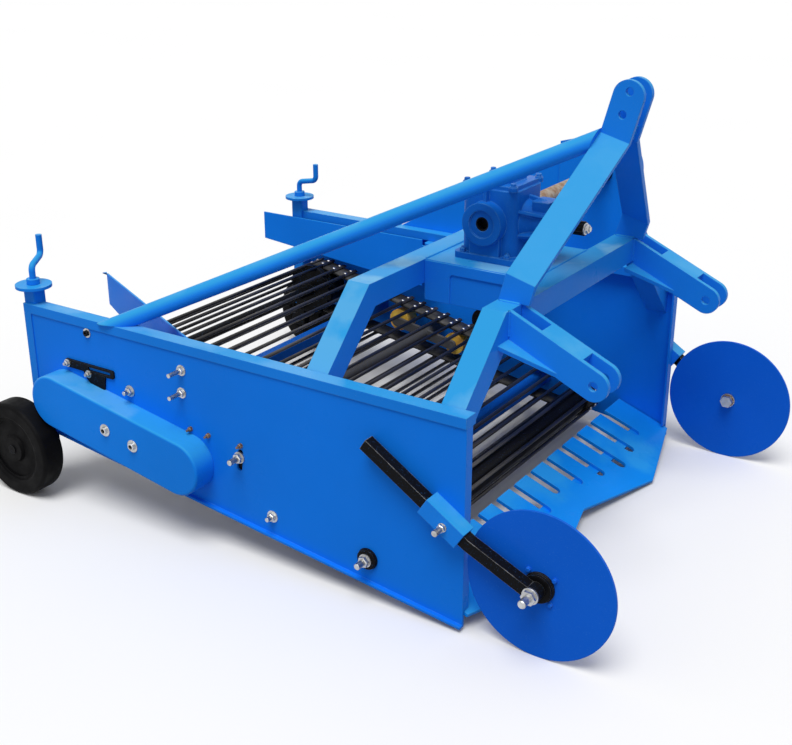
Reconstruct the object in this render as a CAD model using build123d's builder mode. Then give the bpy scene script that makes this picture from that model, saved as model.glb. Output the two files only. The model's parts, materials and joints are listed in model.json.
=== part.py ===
from build123d import *
import os
from math import asin, atan, atan2, cos, degrees, pi, radians, sin, sqrt, tan

# Potato digger for a small tractor's three-point linkage, one ridge wide. Millimetres.
#
# The pieces are drawn from a workshop datum: x = 0 at the front face of the front arch with
# +X towards the tractor, y = 0 on the centre line with +Y to the left, and z = 0 on top of
# the side rails. save() sets each finished piece on the ground, under the machine's middle.

# --- Side frames -----------------------------------------------------------------------
WIDTH = 1200  # over the two side plates
SHEET = 6  # side plates
PLATE_FRONT = 28  # x of the plates' front edge
PLATE_LENGTH = 1351
GROUND_GAP = 10  # under the plates' bottom front corner
PLATE_RISE = 0.124  # how much the bottom edge rises towards the rear
BOTTOM_LIP = 12  # folded out along the bottom edge
FRONT_FLANGE = 20  # folded in along the front edge
RAIL_WIDTH = 40
RAIL_DEPTH = 25
RAIL_PROUD = 3  # the rail stands this far outside its plate
RAIL_HEIGHT = 521  # rail top above the ground
REAR_UPRIGHT = 25  # strip up the plates' rear edge, flush with the rail
ADJUST_SLOT = (-599, -266)  # slot for the web's tension bolt
ADJUST_SLOT_LENGTH = 58
ADJUST_SLOT_WIDTH = 16
ADJUST_SLOT_LEAN = 83
SHAFT_CLEARANCE = 1  # round a shaft where it passes a side plate
BRACE_FOOT = 328  # where the brace pipe meets the right rail, ahead of the plates' rear edge

# --- Arches and hitch --------------------------------------------------------------------
TUBE = 60  # square tube of both arches
ARCH_TOP = 165  # top of the beams above the rails
ARCH_SPACING = 360  # front arch to rear arch
BEAM_OVERHANG = 13.5  # of an arch's flat top, beyond the clevises
RAIL_GRIP = 8  # the legs' outer face meets the rail this far below its top
BASE_SHEET = 8
BASE_WIDTH = 290
BASE_DEPTH = 105
HITCH_SPAN = 683  # between the middles of the lower link clevises
CLEVIS_WIDTH = 70
CLEVIS_DEPTH = 70
CLEVIS_PLATE = 12
CLEVIS_SLOPE = 24.4
CLEVIS_REACH = 242  # root to pin, along the slope
LOWER_PIN_HOLE = 22.4
BLOCK_FROM = 82  # filler block, measured along the slope
BLOCK_TO = 192
BLOCK_DEPTH = 30
GUSSET_WIDTH = 60
GUSSET_LENGTH = 160
GUSSET_PLATE = 10
MAST_BAR = 75
MAST_PLATE = 12
MAST_LEAN = 15  # forward
MAST_FOOT_X = -18
MAST_FOOT_INSET = 16.5  # inner face of a mast bar's foot, inside its clevis's middle
MAST_FOOT_RISE = 58  # upright stretch at the foot, along the mast's lean
MAST_FOLD = 338  # upper fold, along the lean
MAST_LENGTH = 473  # foot to rounded top, along the lean
EAR_GAP = 36  # between the two ears
TOP_PIN_HOLE = 19.5
TOP_PIN_DROP = 26  # first hole below the rounded top
TOP_PIN_PITCH = 54
MAST_BLOCK = 32  # height of the filler between the ears
MAST_BLOCK_INSET = 8  # from the bars' front and rear edges
BRACE_PIPE = 42
BRACE_DROP = 4  # the pipe's top lies this far below the mast's upper fold

# --- Share -----------------------------------------------------------------------------
SHARE_PITCH = 20  # degrees down towards the front
SHARE_X = 23
SHARE_HEIGHT = 47  # of the share's face above the ground, at SHARE_X
SHARE_PLATE = 9
SHARE_REAR = 154  # behind SHARE_X, along the plate
SHARE_SIDE = 15  # how far the outline reaches forward at the sides
SHARE_POINT = 95  # at the two points
SHARE_MIDDLE = 21  # on the centre line
SHARE_POINT_Y = 301
SHARE_GAP = 4  # to the side plates
SLOT_WIDTH = 30
SLOT_MARGIN = 77  # from the slots' round ends forward to the cutting edge
SLOT_PITCH = 94
SLOT_SIDE_MARGIN = 100  # from the share's sides to the middle of the last slot, at least
SHARE_BAR_FROM = -62  # flat bar under the share, along the plate
SHARE_BAR_TO = -30
SHARE_BAR_PLATE = 8

# --- Web and its shafts ---------------------------------------------------------------------
FRONT_ROLLER_X = -225
FRONT_ROLLER_HEIGHT = 105  # above the ground
DRIVE_SHAFT_AHEAD = 138  # of the plates' rear edge
DRIVE_SHAFT_DROP = 232  # below the rails' top
SHAKER_AHEAD = 434.5  # of the drive shaft, along the web
SHAKER_RISE = 7  # above the web's middle line
FRONT_DRUM = 38  # radius under the belt
DRIVE_TEETH = 11  # which sets the drive drum's size
TOOTH_PLAY = 3  # round a rod in the gap between two teeth
TOOTH_WHEEL = 16  # thickness
TOOTH_WHEEL_INSET = 30  # belt to toothed wheel
DRUM_WIDTH = 60
SHAFT = 35
BELT = 8
BELT_WIDTH = 60
BELT_INSET = 36  # plate to belt
ROD = 11
ROD_SUNK = 2  # into the belt
ROD_PITCH = 46
ROD_INSET = 30  # plate to rod end
SHAKER_ROLLER = 70
SHAKER_THROW = 105
SHAKER_ARM = 30
SHAKER_ARM_PLATE = 10
SHAKER_PIN = 16
SHAKER_FIT = 0.2  # radial gap of a roller on its pin
SHAKER_MARGIN = 4  # from a roller's end to the edge of its belt
CROSS_TUBE = 45
CROSS_TUBE_CORNER = 5
FRONT_TUBE_BACK = 152  # behind the front roller, along the web
REAR_TUBE_AHEAD = 206  # of the drive shaft
FRONT_TUBE_DROP = 7  # below the web's middle line
REAR_TUBE_DROP = 14

# --- Drive ---------------------------------------------------------------------------
GEARBOX_X = -228
SHAFT_RISE = 262  # output axis above the rails
HUB_RADIUS = 53
HUB_HALF = 105
HUB_RING = 34
HUB_RING_DEEP = 5
SHAFT_FIT = 0.05  # radial gap round a shaft in its bore
BORE_DEEP = 30
FOOT_SIZE = (170, 184, 16)  # gearbox foot: along, across, thick
FOOT_CORNER = 14
HOUSING_SIZE = (150, 150)
HOUSING_CORNER = 26
HOUSING_RISE = 81  # above the output axis
COVER_SIZE = (138, 142, 11)
COVER_TOP_SIZE = (92, 98, 9)
COVER_CORNER = 14
COVER_DRAFT = 12  # degrees
COVER_LUG = 11
NECK_ROOT = 60  # x from the gearbox axis
NECK_WAIST = 100
NECK_END = 152
NECK_ROOT_RADIUS = 62
NECK_RADIUS = 42
FLANGE_RADIUS = 55
FLANGE_PLATE = 14
RIB = 8
NECK_RIBS = 6
NECK_RIB_PROUD = 4  # over the neck's root
RIB_BACK = 14  # from a hub's face
PEDESTAL_INSET = 4  # from the foot's edge
PEDESTAL_NARROW = 6  # under the hub, smaller than it all round
PAD_BACK = 8  # from the middle of the neck
PAD_CORNER = 5
SEAL_RADIUS = 30
SEAL_DEEP = 8
PAD_SIZE = (46, 58, 34)  # breather pad over the neck: along, across, up from the axis height
PTO_REACH = 226  # shaft end, in front of the gearbox axis
PTO_SPLINES = 6
SPLINE_WIDTH = 9
SPLINE_DEEP = 3
BEARING_RADIUS = 34
BEARING_DEEP = 30
DRIVE_PLATE_FRONT = 133  # x from the gearbox axis, at the foot
DRIVE_PLATE_REAR = -134
DRIVE_PLATE_SHOULDER = -27
DRIVE_PLATE_REAR_RISE = 71  # of its rear top corner, above the axis
CASE_WIDTH = 65
CASE_EDGE = 6
CASE_RADIUS = 72
HEAD_RADIUS = 100  # front end of the left case
BRACKET = (118, 24, 6)  # slotted strip above the right case: long, high, thick
BRACKET_OFFSET = (110, 99)  # from the drive shaft
BRACKET_LEAN = 5
BRACKET_SLOT = (60, 9)

# --- Discs, wheels and boards --------------------------------------------------------------------
DISC_X = 209
DISC_RADIUS = 175
DISC_PLATE = 5
DISC_INSET = 9  # inside the side plates' outer faces
ARM_BAR = 28
ARM_EYE = 20  # radius of the arm's end round the axle
SLEEVE = 44
SLEEVE_LENGTH = 110
SLEEVE_BACK = 15  # from the arm's elbow
SLEEVE_FIT = 0.5  # gap round the arm in its sleeve
ARM_REAR = (-213, -108)
ARM_ELBOW = (52, -276)
AXLE_BOLT = 20
DISC_HUB = 30  # radius of the boss between disc and arm
DISC_PLAY = 0.5  # disc boss to arm
NUT_RADIUS = 15  # across flats
NUT = 12
WASHER_RADIUS = 20
WASHER = 4
WASHER_GAP = 1.3  # inner washer to disc
INNER_NUT = 16
WHEEL_RADIUS = 131
WHEEL_WIDTH = 68
WHEEL_BACK = 14  # axle behind the post's middle
WHEEL_OUT = 67  # middle of a wheel outside its side plate
TYRE_INNER = 88  # radius of the tyre on its hub
TYRE_EDGE = 10
HUB_BOSS = 34
HUB_BOSS_SLOPE = 4  # how much the boss widens down to the web
HUB_FACE = 30  # half width of the hub's boss
RIM_FACE = 26
RIM_WALL = 8
WEB_FACE = 21
STUB_AXLE = 25
AXLE_INSET = 1  # stub axle's end behind the wheel's outer face
AXLE_CLEARANCE = 0.1  # radial, round the stub axles and the disc axles
POST = 40
POST_WALL = 4
POST_AHEAD = 15  # of the plates' rear edge
POST_TOP = 40
POST_ABOVE_AXLE = 60
POST_CAP = 95
POST_CAP_PLATE = 8
LEG_FIT = 1  # gap all round the leg in its post
LEG_WALL = 4
LEG_TOP = -10
LEG_BELOW_AXLE = 20
LEG_SOLID = 40  # the leg is solid up to here above its axle
AXLE_BLOCK = 44  # along the machine
CRANK_ROD = 17
CRANK_GAP = 0.5  # round the screw in the cap, and under its collar
CRANK_COLLAR = 14
CRANK_ELBOW = 96
CRANK_FOOT = -150  # lower end of the screw, inside the leg
CRANK_THROW = 70
CRANK_THROW_RISE = 12
CRANK_GRIP_TOP = 66  # above the elbow
CRANK_TURN = {"left": 0, "right": 118}
BOARD_LENGTH = 665
BOARD_PLATE = 5
BOARD_HINGE_AHEAD = 548  # of the plates' rear edge
BOARD_CLEAR = 9  # from a rear post to the middle of the board beside it
BOARD_TOP = -20
BOARD_SWING = {"left": 0, "right": 26}  # how far each board stands turned in
BOARD_OVER_WEB = 10  # its bottom edge over the rods, above the drive shaft
BOARD_EDGE_RISE = 0.094  # how much that edge rises towards the rear
BOARD_START = 26  # hinge axis to the full-height board
HINGE_PIN = 12
HINGE_FIT = 0.1  # radial gap of the knuckle on its pin
KNUCKLE = 20
KNUCKLE_GAP = 6  # knuckle to each lug
LUG = 6
LUG_RADIUS = 14
LUG_TOP = -26
LUG_BOTTOM = -158

# --- What follows from them ------------------------------------------------------------------
SIDES = {"left": 1, "right": -1}
HALF_WIDTH = WIDTH / 2
INNER = HALF_WIDTH - SHEET  # inner face of a side plate
RAIL_INNER = HALF_WIDTH + RAIL_PROUD - RAIL_WIDTH
ARCH_BOTTOM = ARCH_TOP - TUBE
PLATE_REAR = PLATE_FRONT - PLATE_LENGTH
PLATE_DEPTH = RAIL_HEIGHT - GROUND_GAP  # rail top down to the plates' bottom front corner
BRACE_FOOT_X = PLATE_REAR + BRACE_FOOT
BEAM_CORNER = (HITCH_SPAN + CLEVIS_WIDTH) / 2 + BEAM_OVERHANG
MAST_FOOT_Y = HITCH_SPAN / 2 - MAST_FOOT_INSET
SHARE_Z = SHARE_HEIGHT - RAIL_HEIGHT
# The machine stands on its discs and wheels.
DISC_Z = DISC_RADIUS - RAIL_HEIGHT
DISC_Y = HALF_WIDTH - DISC_INSET
POST_X = PLATE_REAR + POST_AHEAD
WHEEL_X = POST_X - WHEEL_BACK
WHEEL_Y = HALF_WIDTH + WHEEL_OUT
WHEEL_Z = WHEEL_RADIUS - RAIL_HEIGHT
POST_BOTTOM = WHEEL_Z + POST_ABOVE_AXLE
BOARD_HINGE_X = PLATE_REAR + BOARD_HINGE_AHEAD
BOARD_Y = INNER - POST - BOARD_CLEAR
LEG_BAR = POST - 2 * POST_WALL - 2 * LEG_FIT
REAR_END = min(BOARD_HINGE_X - BOARD_LENGTH, WHEEL_X - WHEEL_RADIUS)
MIDDLE_X = (DISC_X + DISC_RADIUS + REAR_END) / 2
ON_GROUND = Location((-MIDDLE_X, 0, RAIL_HEIGHT))

# The web runs from the front roller back and up to the drive shaft, and what lies inside its
# loop is placed along that line. The teeth match the rods, so they set the drive drum.
FRONT_ROLLER = (FRONT_ROLLER_X, FRONT_ROLLER_HEIGHT - RAIL_HEIGHT)
DRIVE_SHAFT = (PLATE_REAR + DRIVE_SHAFT_AHEAD, -DRIVE_SHAFT_DROP)
web_line = Vector(*DRIVE_SHAFT) - Vector(*FRONT_ROLLER)
centre_distance = web_line.length
rearward = web_line.normalized()
upward = Vector(rearward.Y, -rearward.X)
rod_rise = BELT + ROD / 2 - ROD_SUNK  # drum to the middle of a rod
DRIVE_DRUM = DRIVE_TEETH * ROD_PITCH / (2 * pi) - rod_rise


def inside_web(back, rise):
    """The place this far behind the front roller along the web, and above its middle line."""
    place = Vector(*FRONT_ROLLER) + rearward * back + upward * rise
    return (place.X, place.Y)


SHAKER_SHAFT = inside_web(centre_distance - SHAKER_AHEAD, SHAKER_RISE)
FRONT_TUBE = inside_web(FRONT_TUBE_BACK, -FRONT_TUBE_DROP)
REAR_TUBE = inside_web(centre_distance - REAR_TUBE_AHEAD, -REAR_TUBE_DROP)

os.makedirs("parts", exist_ok=True)


def save(piece, label):
    """Sets a finished piece on the ground, labels it and writes its STEP file."""
    piece.part = piece.part.moved(ON_GROUND)
    piece.part.label = label
    export_step(piece.part, f"parts/{label}.step")


def upright(y):
    """The upright plane along the machine at this y: sketch x is forward and sketch y is up."""
    return Plane(origin=(0, y, 0), x_dir=(1, 0, 0), z_dir=(0, -1, 0))


def hull_of(*circles):
    """The flat shape that a string round these (x, z, radius) circles encloses."""
    for x, z, radius in circles:
        with Locations((x, z)):
            Circle(radius)
    make_hull()


# --- Side plates, rails and posts -----------------------------------------------------------------
def plate_bottom(x):
    """Height of a side plate's bottom edge."""
    return -PLATE_DEPTH + (PLATE_FRONT - x) * PLATE_RISE


def share_top(x):
    """Height of the share's upper face."""
    return SHARE_Z - (x - SHARE_X) * tan(radians(SHARE_PITCH))


for side, sign in SIDES.items():
    with BuildPart() as plate:
        with BuildSketch(upright(sign * (HALF_WIDTH - SHEET / 2))):
            Polygon(
                (PLATE_FRONT, -RAIL_DEPTH),
                (PLATE_REAR, -RAIL_DEPTH),
                (PLATE_REAR, plate_bottom(PLATE_REAR)),
                (PLATE_FRONT, plate_bottom(PLATE_FRONT)),
            )
        extrude(amount=SHEET / 2, both=True)
        with BuildSketch(upright(sign * (HALF_WIDTH + BOTTOM_LIP / 2))):
            Polygon(
                (PLATE_FRONT, plate_bottom(PLATE_FRONT)),
                (PLATE_REAR, plate_bottom(PLATE_REAR)),
                (PLATE_REAR, plate_bottom(PLATE_REAR) + SHEET),
                (PLATE_FRONT, plate_bottom(PLATE_FRONT) + SHEET),
            )
        extrude(amount=BOTTOM_LIP / 2, both=True)
        flange_foot = share_top(PLATE_FRONT - SHEET) + SHARE_GAP
        with BuildSketch(upright(sign * (INNER - FRONT_FLANGE / 2))):
            Polygon(
                (PLATE_FRONT, -RAIL_DEPTH),
                (PLATE_FRONT - SHEET, -RAIL_DEPTH),
                (PLATE_FRONT - SHEET, flange_foot),
                (PLATE_FRONT, flange_foot),
            )
        extrude(amount=FRONT_FLANGE / 2, both=True)
        with BuildSketch(upright(sign * HALF_WIDTH)):
            with Locations(FRONT_ROLLER, DRIVE_SHAFT, SHAKER_SHAFT):
                Circle(SHAFT / 2 + SHAFT_CLEARANCE)
            with Locations(Location(ADJUST_SLOT, ADJUST_SLOT_LEAN)):
                SlotOverall(ADJUST_SLOT_LENGTH, ADJUST_SLOT_WIDTH)
        extrude(amount=SHEET, both=True, mode=Mode.SUBTRACT)
    save(plate, f"{side}_side_plate")

    with BuildPart() as rail:
        rail_rear = POST_X + POST / 2
        with BuildSketch(upright(sign * (HALF_WIDTH + RAIL_PROUD - RAIL_WIDTH / 2))):
            Polygon(
                (PLATE_FRONT, 0),
                (rail_rear, 0),
                (rail_rear, -RAIL_DEPTH),
                (PLATE_FRONT, -RAIL_DEPTH),
            )
        extrude(amount=RAIL_WIDTH / 2, both=True)
        # The rail's outer flank runs on past the post and turns down the plate's rear edge.
        with BuildSketch(upright(sign * (INNER + HALF_WIDTH + RAIL_PROUD) / 2)):
            Polygon((rail_rear, 0), (PLATE_REAR, 0), (PLATE_REAR, -RAIL_DEPTH), (rail_rear, -RAIL_DEPTH))
        extrude(amount=(SHEET + RAIL_PROUD) / 2, both=True)
        upright_front = PLATE_REAR + REAR_UPRIGHT
        with BuildSketch(upright(sign * (HALF_WIDTH + RAIL_PROUD / 2))):
            Polygon(
                (PLATE_REAR, -RAIL_DEPTH),
                (upright_front, -RAIL_DEPTH),
                (upright_front, plate_bottom(upright_front) + SHEET),
                (PLATE_REAR, plate_bottom(PLATE_REAR) + SHEET),
            )
        extrude(amount=RAIL_PROUD / 2, both=True)
    save(rail, f"{side}_rail")

    post_y = sign * (INNER - POST / 2)
    with BuildPart() as post:
        with BuildSketch(Plane.XY.offset(POST_BOTTOM)):
            with Locations((POST_X, post_y)):
                RectangleRounded(POST, POST, POST_WALL)
                Rectangle(POST - 2 * POST_WALL, POST - 2 * POST_WALL, mode=Mode.SUBTRACT)
        extrude(amount=POST_TOP - POST_BOTTOM)
        with BuildSketch(Plane.XY.offset(POST_TOP)):
            with Locations((POST_X, post_y)):
                Circle(POST_CAP / 2)
                Circle(CRANK_ROD / 2 + CRANK_GAP, mode=Mode.SUBTRACT)
        extrude(amount=POST_CAP_PLATE)
    save(post, f"{side}_rear_post")

    # The crank's screw runs down inside the leg; its throw points forward on the left and
    # stands turned out on the right.
    with BuildPart() as crank:
        start = (POST_X, post_y, CRANK_FOOT)
        throw = Vector(CRANK_THROW, 0, 0).rotate(Axis.Z, CRANK_TURN[side])
        elbow = Vector(POST_X, post_y, CRANK_ELBOW)
        with BuildLine():
            FilletPolyline(
                start,
                elbow,
                elbow + throw + Vector(0, 0, CRANK_THROW_RISE),
                elbow + throw + Vector(0, 0, CRANK_GRIP_TOP),
                radius=CRANK_ROD,
            )
        with BuildSketch(Plane(origin=start)):
            Circle(CRANK_ROD / 2)
        sweep()
        with BuildSketch(Plane.XY.offset(POST_TOP + POST_CAP_PLATE + CRANK_GAP)):
            with Locations((POST_X, post_y)):
                Circle(CRANK_ROD)
        extrude(amount=CRANK_COLLAR)
    save(crank, f"{side}_crank")

# --- Arches and gearbox base ------------------------------------------------------------------
# The beam is as wide as the hitch needs, and the legs run from its corners out to the rails.
LEG_DROP = (ARCH_TOP + RAIL_GRIP) / (RAIL_INNER - BEAM_CORNER)  # for each millimetre outwards
INNER_CORNER = BEAM_CORNER - TUBE * tan(atan(LEG_DROP) / 2)

for label, front_face in (("front_arch", 0), ("rear_arch", -ARCH_SPACING)):
    with BuildPart() as arch:
        half = [
            (BEAM_CORNER, ARCH_TOP),
            (RAIL_INNER, -RAIL_GRIP),
            (RAIL_INNER, -RAIL_DEPTH),
            (INNER, -RAIL_DEPTH),
            (INNER, ARCH_BOTTOM - (INNER - INNER_CORNER) * LEG_DROP),
            (INNER_CORNER, ARCH_BOTTOM),
        ]
        with BuildSketch(Plane.YZ.offset(front_face - TUBE / 2)):
            Polygon(*half, *((-y, z) for y, z in reversed(half)))
        extrude(amount=TUBE / 2, both=True)
    save(arch, label)

with BuildPart() as gearbox_base:
    with BuildSketch(Plane.YZ.offset(-TUBE)):
        with Locations((0, ARCH_TOP - BASE_DEPTH / 2)):
            Rectangle(BASE_WIDTH, BASE_DEPTH)
        with Locations((0, ARCH_TOP - BASE_SHEET - BASE_DEPTH / 2)):
            Rectangle(BASE_WIDTH - 2 * BASE_SHEET, BASE_DEPTH, mode=Mode.SUBTRACT)
    extrude(amount=-(ARCH_SPACING - TUBE))
save(gearbox_base, "gearbox_base")

# --- Lower link clevises ----------------------------------------------------------------------
for side, sign in SIDES.items():
    middle = sign * HITCH_SPAN / 2
    slope = radians(CLEVIS_SLOPE)
    # The slope plane lies on the ears' top edges: its x runs down the slope and its y across.
    crown = Plane(
        origin=(0, middle, ARCH_TOP),
        x_dir=(cos(slope), 0, -sin(slope)),
        z_dir=(sin(slope), 0, cos(slope)),
    )
    side_view = Plane(origin=crown.origin, x_dir=crown.x_dir, z_dir=(0, -1, 0))
    outer_faces = (side_view.offset(-CLEVIS_WIDTH / 2), side_view.offset(CLEVIS_WIDTH / 2 - CLEVIS_PLATE))
    with BuildPart() as clevis:
        with BuildSketch(*outer_faces):
            with Locations(((CLEVIS_REACH - CLEVIS_DEPTH) / 2, -CLEVIS_DEPTH / 2)):
                Rectangle(CLEVIS_REACH + CLEVIS_DEPTH, CLEVIS_DEPTH)
            with Locations((CLEVIS_REACH, -CLEVIS_DEPTH / 2)):
                Circle(CLEVIS_DEPTH / 2)
                Circle(LOWER_PIN_HOLE / 2, mode=Mode.SUBTRACT)
        extrude(amount=CLEVIS_PLATE)
        with BuildSketch(crown):
            with Locations(((BLOCK_FROM + BLOCK_TO) / 2, 0)):
                Rectangle(BLOCK_TO - BLOCK_FROM, CLEVIS_WIDTH)
        extrude(amount=-BLOCK_DEPTH)
        with BuildSketch(crown.offset(-CLEVIS_DEPTH + GUSSET_PLATE)):
            for out in (1, -1):
                Polygon(
                    (0, out * CLEVIS_WIDTH / 2),
                    (0, out * (CLEVIS_WIDTH / 2 + GUSSET_WIDTH)),
                    (GUSSET_LENGTH, out * CLEVIS_WIDTH / 2),
                )
        extrude(amount=-GUSSET_PLATE)
        split(bisect_by=Plane.YZ, keep=Keep.TOP)
    save(clevis, f"{side}_lower_clevis")

# --- Mast ---------------------------------------------------------------------------
LEAN = radians(MAST_LEAN)
# The mast plane leans forward: its x runs across the machine and its y up the mast.
mast_plane = Plane(
    origin=(MAST_FOOT_X, 0, ARCH_TOP),
    x_dir=(0, 1, 0),
    z_dir=(cos(LEAN), 0, -sin(LEAN)),
)
EAR_OUTER = EAR_GAP / 2 + MAST_PLATE


def on_mast(across, up):
    """A point of the mast plane, in the datum frame."""
    return mast_plane.from_local_coords(Vector(across, up, 0))


for side, sign in SIDES.items():
    with BuildPart() as mast_bar:
        with BuildSketch(mast_plane):
            with BuildLine():
                outer = Polyline(
                    (sign * MAST_FOOT_Y, -MAST_BAR / 2),
                    (sign * MAST_FOOT_Y, MAST_FOOT_RISE),
                    (sign * EAR_OUTER, MAST_FOLD),
                    (sign * EAR_OUTER, MAST_LENGTH),
                )
                offset(
                    outer,
                    amount=MAST_PLATE,
                    side=Side.LEFT if sign > 0 else Side.RIGHT,
                    kind=Kind.INTERSECTION,
                )
            make_face()
        extrude(amount=MAST_BAR / 2, both=True)
        top_edges = mast_bar.edges().filter_by(Axis.Y).group_by(Axis((0, 0, 0), mast_plane.y_dir))[-1]
        fillet(top_edges, MAST_BAR / 2 - 0.5)
        with BuildSketch(Plane(origin=on_mast(0, 0), x_dir=mast_plane.z_dir, z_dir=(0, -1, 0))):
            first = MAST_LENGTH - TOP_PIN_DROP
            with Locations((0, first), (0, first - TOP_PIN_PITCH)):
                Circle(TOP_PIN_HOLE / 2)
        extrude(amount=2 * EAR_OUTER, both=True, mode=Mode.SUBTRACT)
        split(bisect_by=Plane.XY.offset(ARCH_TOP), keep=Keep.TOP)
    save(mast_bar, f"{side}_mast_bar")

with BuildPart() as mast_block:
    block_middle = on_mast(0, MAST_FOLD + MAST_BLOCK / 2)
    with BuildSketch(Plane(origin=block_middle, x_dir=(0, 1, 0), z_dir=mast_plane.z_dir)):
        Rectangle(EAR_GAP, MAST_BLOCK)
    extrude(amount=MAST_BAR / 2 - MAST_BLOCK_INSET, both=True)
save(mast_block, "mast_block")

# The brace pipe runs from the right rail to the rear edge of the right mast bar, just below
# its upper fold.
incline = Vector(MAST_FOOT_Y - EAR_OUTER, MAST_FOLD - MAST_FOOT_RISE, 0).normalized()
weld_drop = BRACE_PIPE / 2 + BRACE_DROP
weld = on_mast(
    -EAR_OUTER + MAST_PLATE / 2 - weld_drop * incline.X,
    MAST_FOLD - weld_drop * incline.Y,
) - mast_plane.z_dir * (MAST_BAR / 2)
mast_rear = Plane(origin=weld, z_dir=mast_plane.z_dir)
pipe_foot = Vector(BRACE_FOOT_X, -(HALF_WIDTH + RAIL_PROUD - RAIL_WIDTH / 2), 0)
pipe_line = weld - pipe_foot
# It is drawn overlong at both ends, then trimmed to the two faces that it meets.
overlong = pipe_line * 0.1
with BuildPart() as brace_pipe:
    with BuildSketch(Plane(origin=pipe_foot - overlong, z_dir=pipe_line)):
        Circle(BRACE_PIPE / 2)
    extrude(amount=(pipe_line + overlong * 2).length)
    split(bisect_by=mast_rear, keep=Keep.BOTTOM)
    split(bisect_by=Plane.XY, keep=Keep.TOP)
save(brace_pipe, "brace_pipe")

# --- Share ------------------------------------------------------------------------------
pitch = radians(SHARE_PITCH)
# The share plane is its upper face: its x runs forward down the slope and its y across.
share_plane = Plane(
    origin=(SHARE_X, 0, SHARE_Z),
    x_dir=(cos(pitch), 0, -sin(pitch)),
    z_dir=(sin(pitch), 0, cos(pitch)),
)
share_edge = INNER - SHARE_GAP


def cutting_edge(across):
    """How far forward the share's outline lies at this distance from the centre line."""
    if abs(across) < SHARE_POINT_Y:
        return SHARE_MIDDLE + (SHARE_POINT - SHARE_MIDDLE) * abs(across) / SHARE_POINT_Y
    rest = (share_edge - abs(across)) / (share_edge - SHARE_POINT_Y)
    return SHARE_SIDE + (SHARE_POINT - SHARE_SIDE) * rest


with BuildPart() as share:
    with BuildSketch(share_plane):
        Polygon(
            (-SHARE_REAR, -share_edge),
            (SHARE_SIDE, -share_edge),
            (SHARE_POINT, -SHARE_POINT_Y),
            (SHARE_MIDDLE, 0),
            (SHARE_POINT, SHARE_POINT_Y),
            (SHARE_SIDE, share_edge),
            (-SHARE_REAR, share_edge),
        )
        each_side = int((share_edge - SLOT_SIDE_MARGIN) // SLOT_PITCH)
        for number in range(-each_side, each_side + 1):
            across = number * SLOT_PITCH
            slot_end = cutting_edge(across) - SLOT_MARGIN
            straight_end = slot_end - SLOT_WIDTH / 2
            with Locations(((straight_end - SHARE_REAR) / 2, across)):
                Rectangle(straight_end + SHARE_REAR, SLOT_WIDTH, mode=Mode.SUBTRACT)
            with Locations((straight_end, across)):
                Circle(SLOT_WIDTH / 2, mode=Mode.SUBTRACT)
    extrude(amount=-SHARE_PLATE)
save(share, "share")

with BuildPart() as share_bar:
    with BuildSketch(share_plane.offset(-SHARE_PLATE)):
        with Locations(((SHARE_BAR_FROM + SHARE_BAR_TO) / 2, 0)):
            Rectangle(SHARE_BAR_TO - SHARE_BAR_FROM, 2 * INNER)
    extrude(amount=-SHARE_BAR_PLATE)
save(share_bar, "share_bar")

# --- Rod web ------------------------------------------------------------------------------
flare = asin((DRIVE_DRUM - FRONT_DRUM) / centre_distance)
straight = sqrt(centre_distance**2 - (DRIVE_DRUM - FRONT_DRUM) ** 2)


def loop_length(rise):
    """Length of the closed loop that runs this far outside the drums."""
    return 2 * straight + (DRIVE_DRUM + rise) * (pi + 2 * flare) + (FRONT_DRUM + rise) * (pi - 2 * flare)


def loop_point(along, rise):
    """The point this far along the loop: over the top to the rear, round, and back below."""
    stretches = (
        ("top", straight),
        ("rear", (DRIVE_DRUM + rise) * (pi + 2 * flare)),
        ("bottom", straight),
        ("front", (FRONT_DRUM + rise) * (pi - 2 * flare)),
    )
    for stretch, length in stretches:
        if along <= length:
            break
        along -= length
    if stretch in ("top", "bottom"):
        outward = upward if stretch == "top" else -upward
        normal = outward * cos(flare) - rearward * sin(flare)
        run_along = rearward * cos(flare) + outward * sin(flare)
        if stretch == "top":
            return Vector(*FRONT_ROLLER) + normal * (FRONT_DRUM + rise) + run_along * along
        return Vector(*DRIVE_SHAFT) + normal * (DRIVE_DRUM + rise) - run_along * along
    if stretch == "rear":
        angle = along / (DRIVE_DRUM + rise) - flare
        return Vector(*DRIVE_SHAFT) + (upward * cos(angle) + rearward * sin(angle)) * (DRIVE_DRUM + rise)
    angle = along / (FRONT_DRUM + rise) + flare
    return Vector(*FRONT_ROLLER) - (upward * cos(angle) + rearward * sin(angle)) * (FRONT_DRUM + rise)


rod_count = round(loop_length(rod_rise) / ROD_PITCH)
rod_places = [loop_point(i * loop_length(rod_rise) / rod_count, rod_rise) for i in range(rod_count)]
belt_y = INNER - BELT_INSET - BELT_WIDTH / 2

with BuildPart() as rod_web:
    with BuildSketch(upright(belt_y), upright(-belt_y)):
        hull_of((*FRONT_ROLLER, FRONT_DRUM + BELT), (*DRIVE_SHAFT, DRIVE_DRUM + BELT))
    extrude(amount=BELT_WIDTH / 2, both=True)
    with BuildSketch(upright(0)):
        hull_of((*FRONT_ROLLER, FRONT_DRUM), (*DRIVE_SHAFT, DRIVE_DRUM))
    extrude(amount=INNER, both=True, mode=Mode.SUBTRACT)
    with BuildSketch(upright(0)):
        with Locations(*rod_places):
            Circle(ROD / 2)
    extrude(amount=INNER - ROD_INSET, both=True)
save(rod_web, "rod_web")

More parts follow.
